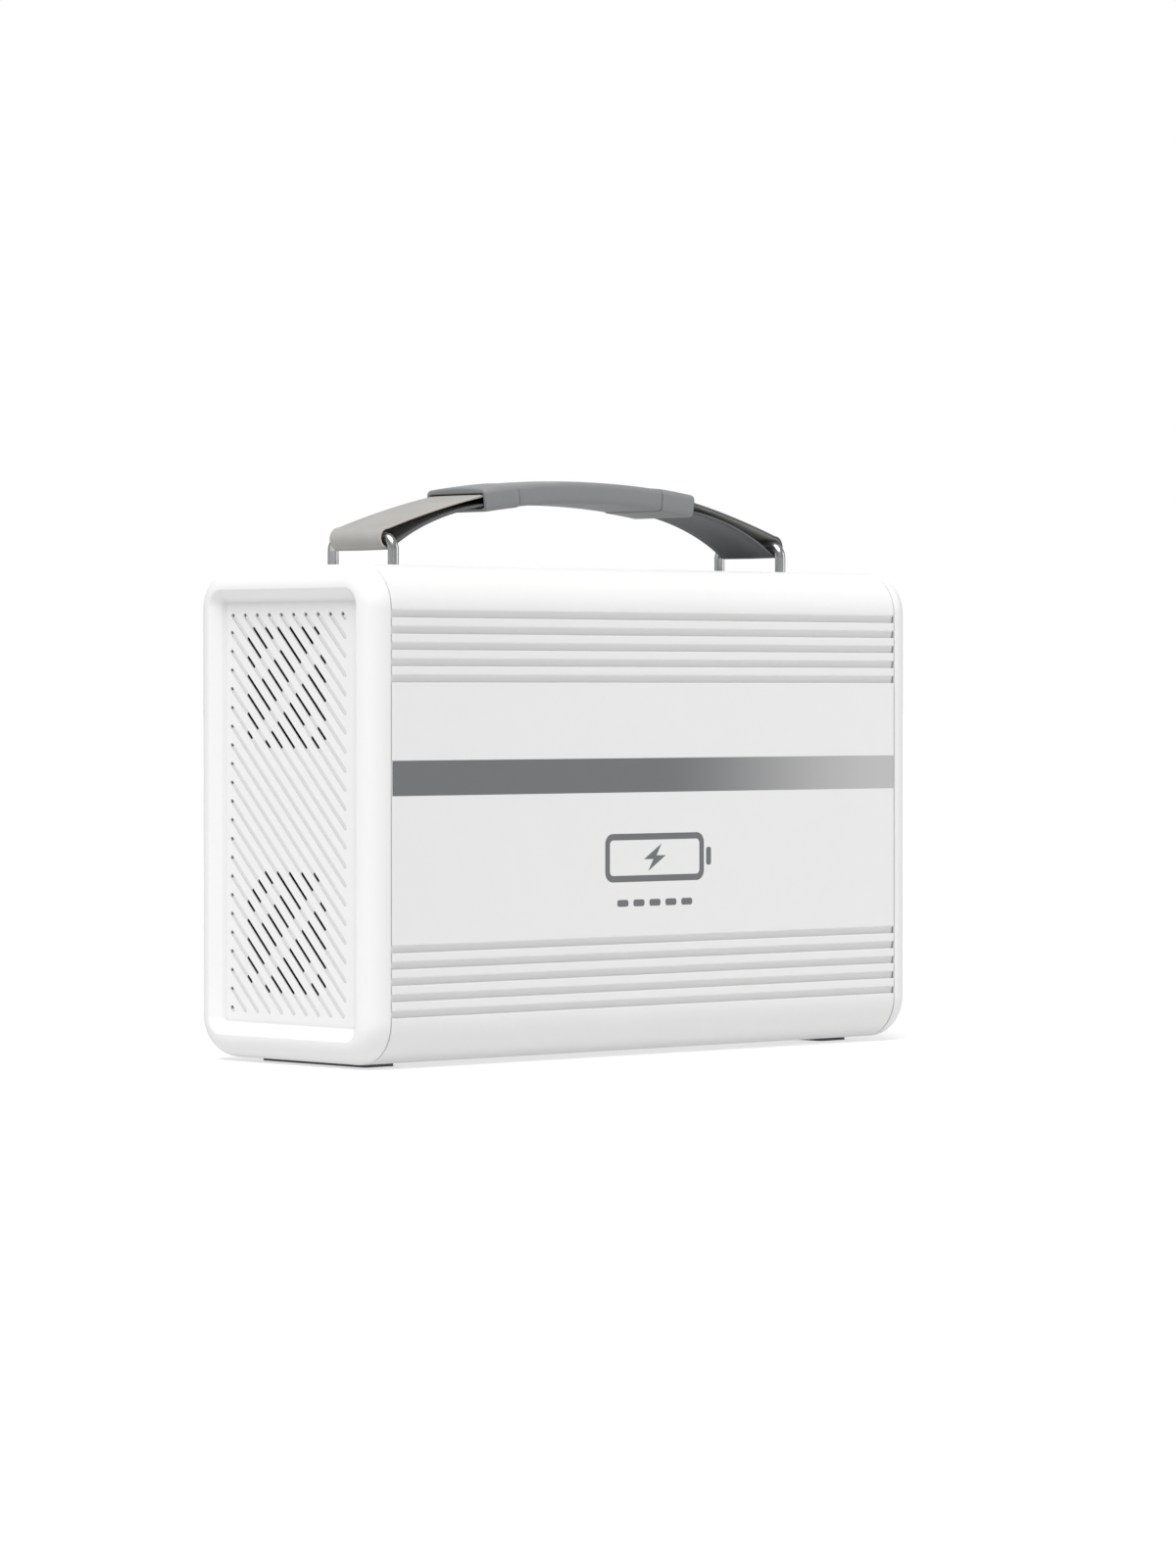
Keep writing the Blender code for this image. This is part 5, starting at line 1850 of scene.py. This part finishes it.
@dataclass
class SocketPanel(Assembly):
    """Everything that sits in the socket end's floor."""

    button_rise: float = 1.5
    face: float = field(init=False)

    def __post_init__(self) -> None:
        """Read the floor's place from a button, which stands a little proud of it."""
        self.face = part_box("button_power")[1].x / MM - self.button_rise

    def centre(self, node: str) -> Vector:
        """The middle of a node, on the floor's face."""
        return Vector((self.face, *centre_of(node).yz))

    @staticmethod
    def plate(
        name: str, loops: Sequence[Sequence[Point2]], where: Vector, thickness: float = 0.12
    ) -> bpy.types.Mesh:
        """A thin flat shape, its loops given as (y, z) about its place, that faces the socket end."""
        return flat_shape(name, loops, thickness, Matrix.Translation(where) @ Axis.X.turn)

    @staticmethod
    def bore(pin: Vector) -> bpy.types.Mesh:
        """The cutter of the hinge pin's bore."""
        return turned("bore", [(0, 10), (1.0, 10), (1.0, -10), (0, -10)], tuple(pin), Axis.Y.turn, 24)

    def display(self) -> None:
        """The smoked window, the black face behind it and what that shows."""
        low, high = box_of("display_window")
        size, centre = high - low, (low + high) / 2
        outline = rounded_rectangle(size.y, size.z, 0.75, 5)
        glass = self.plate("display_glass", [outline], centre, size.x)
        self.add("display_glass", softened(glass, 0.25), Skin.DISPLAY_GLASS, stands_for=["display_window"])
        back = Vector((low.x - 0.35, centre.y, centre.z))
        self.add("display_face", self.plate("display_face", [outline], back, 0.3), Skin.DISPLAY_BLACK)
        self.dress(Skin.DISPLAY_BLACK, "display_module")
        lit = back + Vector((0.2, 0, 0))
        marks = [
            self.digit(lit + Vector((0, offset, 0)), value)
            for offset, value in ((-13.0, 1), (-3.0, 0), (7.0, 0))
        ]
        bar = [[rounded_rectangle(2.2, 13.0, 0.5, 3, (-27.5 + i * 3.1, 0.0))] for i in range(3)]
        bar += [[rounded_rectangle(1.6, 1.6, 0.5, 3, (22.0, 5.0 - i * 5.0))] for i in range(3)]
        marks += [self.plate("bar", loops, lit, 0.1) for loops in bar]
        self.add("display_marks", gathered("display_marks", marks), Skin.DISPLAY_GLOW)

    def digit(self, where: Vector, value: int) -> bpy.types.Mesh:
        """A seven-segment digit.

        Args:
            where: Its centre.
            value: 0 or 1.

        Returns:
            The mesh.
        """
        upright = [(side * 3.1, rise * 3.4) for side in (-1, 1) for rise in (-1, 1)]
        level = [(0.0, 6.9), (0.0, -6.9)]
        if value == 1:
            upright, level = [(3.1, 3.4), (3.1, -3.4)], []
        bars = [rounded_rectangle(1.3, 5.6, 0.6, 3, place) for place in upright]
        bars += [rounded_rectangle(4.6, 1.3, 0.6, 3, place) for place in level]
        return gathered("digit", [self.plate("segment", [loop], where, 0.1) for loop in bars])

    def buttons(self) -> None:
        """Three push buttons with a dished top, a lit ring and a sign each."""
        signs = {"button_power": self.power_sign, "button_dc": self.direct_sign, "button_ac": self.wave_sign}
        for node, sign in signs.items():
            at = self.centre(node)
            profile = [(0, 0.9), (4.6, 1.1), (5.9, 1.5), (7.0, 1.2), (7.0, -2.8), (8.6, -2.8)]
            profile += [(8.6, -4.2), (0, -4.2)]
            mesh = turned(node, rounded_profile(profile, 0.5), at, Axis.X.turn)
            self.add(node + "_cap", mesh, Skin.BUTTON_GREY, body=node, stands_for=[node])
            ring = [(6.25, 1.56), (6.7, 1.5), (6.6, 1.2), (6.2, 1.2)]
            halo = turned(node + "_ring", ring, at, Axis.X.turn)
            self.add(node + "_ring", halo, Skin.BUTTON_GLOW, body=node)
            marks = [self.plate("sign", loops, at + Vector((0.98, 0, 0))) for loops in sign()]
            self.add(node + "_sign", gathered(node + "_sign", marks), Skin.MARK_INK, body=node)

    @staticmethod
    def power_sign() -> list[list[list[Point2]]]:
        """A broken ring with an upright stroke."""
        return [[stroke(arc((0, -0.2), 2.1, 125, 415, 24), 0.55)], [stroke([(0.0, 0.4), (0.0, 2.5)], 0.55)]]

    @staticmethod
    def direct_sign() -> list[list[list[Point2]]]:
        """A long line over three short ones."""
        dashes = [[stroke([(x - 0.4, -0.7), (x + 0.4, -0.7)], 0.5)] for x in (-1.9, 0.0, 1.9)]
        return [[stroke([(-2.3, 0.7), (2.3, 0.7)], 0.5)]] + dashes

    @staticmethod
    def wave_sign(width: float = 4.8) -> list[list[list[Point2]]]:
        """One wave."""
        points = [(width * (i / 20 - 0.5), width * 0.22 * math.sin(2 * math.pi * i / 20)) for i in range(21)]
        return [[stroke(points, width * 0.115)]]

    def usb(self) -> None:
        """The charging module: its face, the four mouths with metal lips, and their tongues."""
        low, high = box_of("usb_module")
        centre, size = (low + high) / 2, high - low
        body = softened(box_mesh("usb_module", tuple(size), tuple(centre)), 0.4)
        wide, narrow = (13.2, 5.4, 0.5), (9.2, 3.4, 1.6)
        cuts, lips, tongues = [], [], []
        for offset, (width, height, radius) in ((-27.0, wide), (-8.0, wide), (10.0, narrow), (26.0, narrow)):
            at = Vector((high.x, centre.y + offset, centre.z))
            outline = rounded_rectangle(width, height, radius, 5)
            inner = rounded_rectangle(width - 0.7, height - 0.7, max(radius - 0.35, 0.15), 5)
            cuts.append(self.plate("cut", [outline], at - Vector((4.0, 0, 0)), 12.0))
            lips.append(self.plate("lip", [outline, inner], at - Vector((4.6, 0, 0)), 9.4))
            middle = at - Vector((6.2, 0, 0))
            tongues.append(box_mesh("tongue", (7.6, width - 2.4, height * 0.32), tuple(middle)))
        body = carved(body, gathered("cuts", cuts))
        self.add("usb_module_body", body, Skin.SOCKET_BLACK, stands_for=["usb_module"])
        self.add("usb_lips", gathered("usb_lips", lips), Skin.PLATED_STEEL)
        self.add("usb_tongues", gathered("usb_tongues", tongues), Skin.BUTTON_GREY)

    def car_socket(self) -> None:
        """The round socket with its bright liner, contact, lugs, pin and hinged lid."""
        at = self.centre("socket_contact")
        low, high = box_of("lid_pin")
        pin = (low + high) / 2
        profile = [(0, -34), (11.2, -34), (11.2, 1.4), (11.9, 2.0), (16.0, 2.0), (16.5, 1.5), (16.5, 0.3)]
        profile += [(12.5, 0.3), (12.5, -36), (0, -36)]
        body = turned("car_socket", rounded_profile(profile, 0.3), at, Axis.X.turn)
        lugs = [
            softened(box_mesh("lug", (4.4, 2.4, 4.6), (pin.x - 0.5, pin.y + side * 5.0, pin.z - 0.1)), 0.5)
            for side in (-1, 1)
        ]
        body = carved(body, gathered("lugs", lugs), Carve.JOIN)
        body = carved(body, self.bore(pin))
        self.add("car_socket_body", body, Skin.SOCKET_BLACK, stands_for=["car_socket"])
        liner = [(10.62, 1.1), (11.15, 1.1), (11.15, -30.0), (10.62, -30.0)]
        self.add("car_socket_liner", turned("liner", liner, at, Axis.X.turn), Skin.PLATED_STEEL)
        self.dress(Skin.CONTACT_BRASS, "socket_contact")
        self.dress(Skin.PLATED_STEEL, "lid_pin")
        self.lid(at, pin)

    def lid(self, at: Vector, pin: Vector) -> None:
        """The socket's rubber lid, with a raised rim, a pull tab and its knuckle.

        Args:
            at: The socket's centre on the floor's face.
            pin: The hinge pin's middle.
        """
        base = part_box("socket_lid")[0].x / MM - self.face
        face = ((0, 1.5), (11.0, 1.5), (12.0, 2.0), (13.8, 2.0), (14.5, 1.3), (14.5, 0), (0, 0))
        disc = [(radius, base + up) for radius, up in face]
        mesh = turned("lid", rounded_profile(disc, 0.4), at, Axis.X.turn, 56)
        below = Vector((at.x + base + 0.85, at.y, at.z - 15.2))
        tab = self.plate("tab", [rounded_rectangle(9.0, 6.0, 2.0, 6)], below, 1.5)
        bridge = box_mesh("bridge", (1.6, 6.0, 3.6), (pin.x - 0.5, pin.y, pin.z - 2.0))
        roll = [(0, 3.2), (1.6, 3.2), (1.6, -3.2), (0, -3.2)]
        knuckle = turned("knuckle", roll, tuple(pin), Axis.Y.turn, 28)
        for extra in (softened(tab, 0.4), bridge, knuckle):
            mesh = carved(mesh, extra, Carve.JOIN)
        mesh = carved(mesh, self.bore(pin))
        self.add("socket_lid_flap", mesh, Skin.LID_SKIN, body="socket_lid", stands_for=["socket_lid"])
        ribs = [stroke([(-4.0 + i, z), (4.0 - i, z)], 0.7) for i, z in enumerate((-1.6, 0.0, 1.6))]
        marks = [self.plate("rib", [rib], at + Vector((base + 1.6, 0, 0)), 0.3) for rib in ribs]
        self.add("socket_lid_ribs", gathered("socket_lid_ribs", marks), Skin.LID_SKIN, body="socket_lid")

    def jacks(self) -> None:
        """Three round low-voltage jacks with a bright centre pin."""
        for i in (1, 2, 3):
            node = "dc_jack_%d" % i
            at = self.centre(node)
            profile = [(0, -9.0), (2.9, -9.0), (2.9, 0.9), (3.4, 1.2), (6.0, 1.2), (6.4, 0.8), (6.4, 0.3)]
            profile += [(5.0, 0.3), (5.0, -14.0), (0, -14.0)]
            mesh = turned(node, rounded_profile(profile, 0.25), at, Axis.X.turn)
            self.add(node + "_body", mesh, Skin.SOCKET_BLACK, stands_for=[node])
            pin = [(0, -1.0), (0.6, -1.15), (1.0, -1.7), (1.0, -9.2), (0, -9.2)]
            self.add(node + "_pin", turned(node + "_pin", pin, at, Axis.X.turn, 24), Skin.CONTACT_BRASS)

    def mains(self) -> None:
        """Two mains sockets: a dished face, two flat slots and a round one, and brass inside."""
        for node in ("ac_socket_upper", "ac_socket_lower"):
            at = self.centre(node)
            profile = [(0, 1.1), (14.0, 1.1), (14.9, 1.8), (16.4, 1.8), (17.2, 1.0), (17.2, 0.3), (15.0, 0.3)]
            profile += [(15.0, -20.0), (0, -20.0)]
            mesh = turned(node, rounded_profile(profile, 0.4), at, Axis.X.turn, 64)
            cuts, brass = [], []
            for side, height in ((-1, 8.0), (1, 9.0)):
                for grow, depth, front in ((0.0, 11.0, 1.4), (0.5, 0.8, 1.35)):
                    size = (depth, 2.0 + grow, height + grow)
                    where = (at.x + front - depth / 2, at.y + side * 6.35, at.z + 2.5)
                    cuts.append(box_mesh("slot", size, where))
                inside = (at.x - 6.0, at.y + side * 6.85, at.z + 2.5)
                brass.append(box_mesh("brass", (5.0, 0.7, height - 1.0), inside))
            for cut in cuts:
                mesh = carved(mesh, cut)
            earth = [(0, 2.0), (3.1, 2.0), (2.6, 0.9), (2.6, -10.0), (0, -10.0)]
            mesh = carved(mesh, turned("earth", earth, at - Vector((0, 0, 7.5)), Axis.X.turn, 32))
            self.add(node + "_body", mesh, Skin.SOCKET_BLACK, stands_for=[node])
            sleeve = [(2.1, -2.5), (2.5, -2.5), (2.5, -9.5), (2.1, -9.5)]
            brass.append(turned("sleeve", sleeve, at - Vector((0, 0, 7.5)), Axis.X.turn, 28))
            self.add(node + "_contacts", gathered(node + "_contacts", brass), Skin.CONTACT_BRASS)

    def signs(self) -> None:
        """The small generic signs printed on the floor beside the sockets."""
        places = [("ac_socket_upper", (0.03, -27.0, 0)), ("ac_socket_lower", (0.03, -27.0, 0))]
        places += [("dc_jack_%d" % i, (0.03, 0, 10.5)) for i in (1, 2, 3)]
        parts = []
        for node, shift in places:
            sign = self.direct_sign() if node.startswith("dc") else self.wave_sign(8.0)
            parts += [self.plate("sign", loops, self.centre(node) + Vector(shift), 0.08) for loops in sign]
        self.add("panel_signs", gathered("panel_signs", parts), Skin.MARK_INK)

    def build(self) -> None:
        """Make every piece of the panel."""
        self.display()
        self.buttons()
        self.usb()
        self.car_socket()
        self.jacks()
        self.mains()
        self.signs()
        self.dress(Skin.BOARD_MASK, "control_board")


@dataclass
class Interior(Assembly):
    """What the housing holds: the battery and the power stage, on their CAD solids."""

    def build(self) -> None:
        """Dress each inner solid."""
        self.dress(Skin.CELL_SLEEVE, *("battery_cell_%d" % i for i in range(1, 9)))
        self.dress(Skin.FAN_BLACK, "battery_tray", "battery_cover", "capacitor_1", "capacitor_2")
        self.dress(Skin.BOARD_MASK, "protection_board", "inverter_board", "charger_board")
        self.dress(Skin.BAR_COPPER, "bus_bar_carrier")
        self.dress(Skin.BARE_ALUMINIUM, "chassis_plate", "heatsink_1", "heatsink_2")
        self.dress(Skin.CORE_GREY, "transformer_core_1", "transformer_core_2")
        self.dress(Skin.WINDING_COPPER, "transformer_winding_1", "transformer_winding_2")
        self.dress(Skin.PLATED_STEEL, *("tie_rod_%d" % i for i in range(1, 5)))


# ------------------------------------------------------------------------------------------ studio


@dataclass
class Studio:
    """A pale floor, soft light and the camera. Sizes here are in metres."""

    camera_place: Point3 = (-1.9888, -2.1531, 0.1821)
    camera_yaw: float = -42.983
    lens: float = 132.7
    shift_down: float = -0.0596
    floor_seen: float = 0.7
    floor_bounce: float = 0.4
    floor_glow: float = 0.42
    world_strength: float = 0.35
    aim: Point3 = (0.0, 0.0, 0.14)

    def floor(self) -> None:
        """A wide pale floor under the feet."""
        bm = bmesh.new()
        bmesh.ops.create_grid(bm, x_segments=1, y_segments=1, size=30.0)
        mesh = bpy.data.meshes.new("floor")
        bm.to_mesh(mesh)
        bm.free()
        material = bpy.data.materials.new("pale_floor")
        material.use_nodes = True
        graph = Graph(material.node_tree)
        seen = graph.node("LightPath").outputs["Is Camera Ray"]
        lit, bounced = ((tone, tone, tone, 1.0) for tone in (self.floor_seen, self.floor_bounce))
        graph.feed(
            material.node_tree.nodes["Principled BSDF"], Base_Color=graph.mix(seen, bounced, lit),
            Roughness=0.9, Emission_Color=(1.0, 1.0, 1.0, 1.0), Emission_Strength=self.floor_glow,
        )
        mesh.materials.append(material)
        placed("floor", mesh)

    def light(self, name: str, kind: Lamp, place: Point3, energy: float, **size: float) -> None:
        """A soft light that looks at the object's middle.

        Args:
            name: Its name.
            kind: Which kind.
            place: Where it is; only the way it looks counts for a sun.
            energy: A sun's strength, or a panel's power in watts.
            **size: A sun's angle, or a panel's side in metres.
        """
        light = bpy.data.lights.new(name, kind.value)
        light.energy = energy
        for setting, value in size.items():
            setattr(light, setting, value)
        lamp = placed(name, light)
        lamp.location = place
        lamp.rotation_euler = (Vector(self.aim) - Vector(place)).to_track_quat("-Z", "Y").to_euler()

    def camera(self) -> None:
        """The camera, level, with a small shift."""
        data = bpy.data.cameras.new("camera")
        data.lens = self.lens
        data.sensor_width = 36.0
        data.shift_y = self.shift_down
        camera = placed("camera", data)
        camera.location = self.camera_place
        camera.rotation_euler = (math.radians(90), 0, math.radians(self.camera_yaw))
        bpy.context.scene.camera = camera

    def build(self) -> None:
        """Set the floor, the light and the camera."""
        world = bpy.data.worlds.new("studio")
        world.use_nodes = True
        graph = Graph(world.node_tree)
        background = world.node_tree.nodes["Background"]
        seen = graph.node("LightPath").outputs["Is Camera Ray"]
        strength = graph.remap(seen, 0.0, 1.0, self.world_strength, 1.0)
        graph.feed(background, Color=(1.0, 1.0, 1.0, 1.0), Strength=strength)
        bpy.context.scene.world = world
        bpy.context.scene.view_settings.view_transform = "Standard"
        self.floor()
        self.light("key", Lamp.SUN, (-0.74, -0.42, 1.94), 3.2, angle=math.radians(45.0))
        self.light("fill", Lamp.PANEL, (2.1, -1.7, 0.9), 10.0, size=1.6)
        self.light("back", Lamp.PANEL, (1.5, 2.4, 1.0), 7.0, size=1.6)
        self.camera()


def main() -> None:
    """Build every sub-assembly in order."""
    logging.basicConfig(level=logging.INFO, format="%(message)s")
    Studio().build()
    finishes = {skin: skin.value.build(skin.name.lower()) for skin in Skin}
    for assembly in (
        Housing(finishes), FrontMark(finishes), VentCap(finishes, End.VENT, "vent_cap"),
        SocketCap(finishes, End.SOCKET, "socket_cap"), Handle(finishes), SocketPanel(finishes),
        Interior(finishes),
    ):
        LOG.info("== %s", type(assembly).__name__)
        assembly.build()


if __name__ == "__main__":
    main()
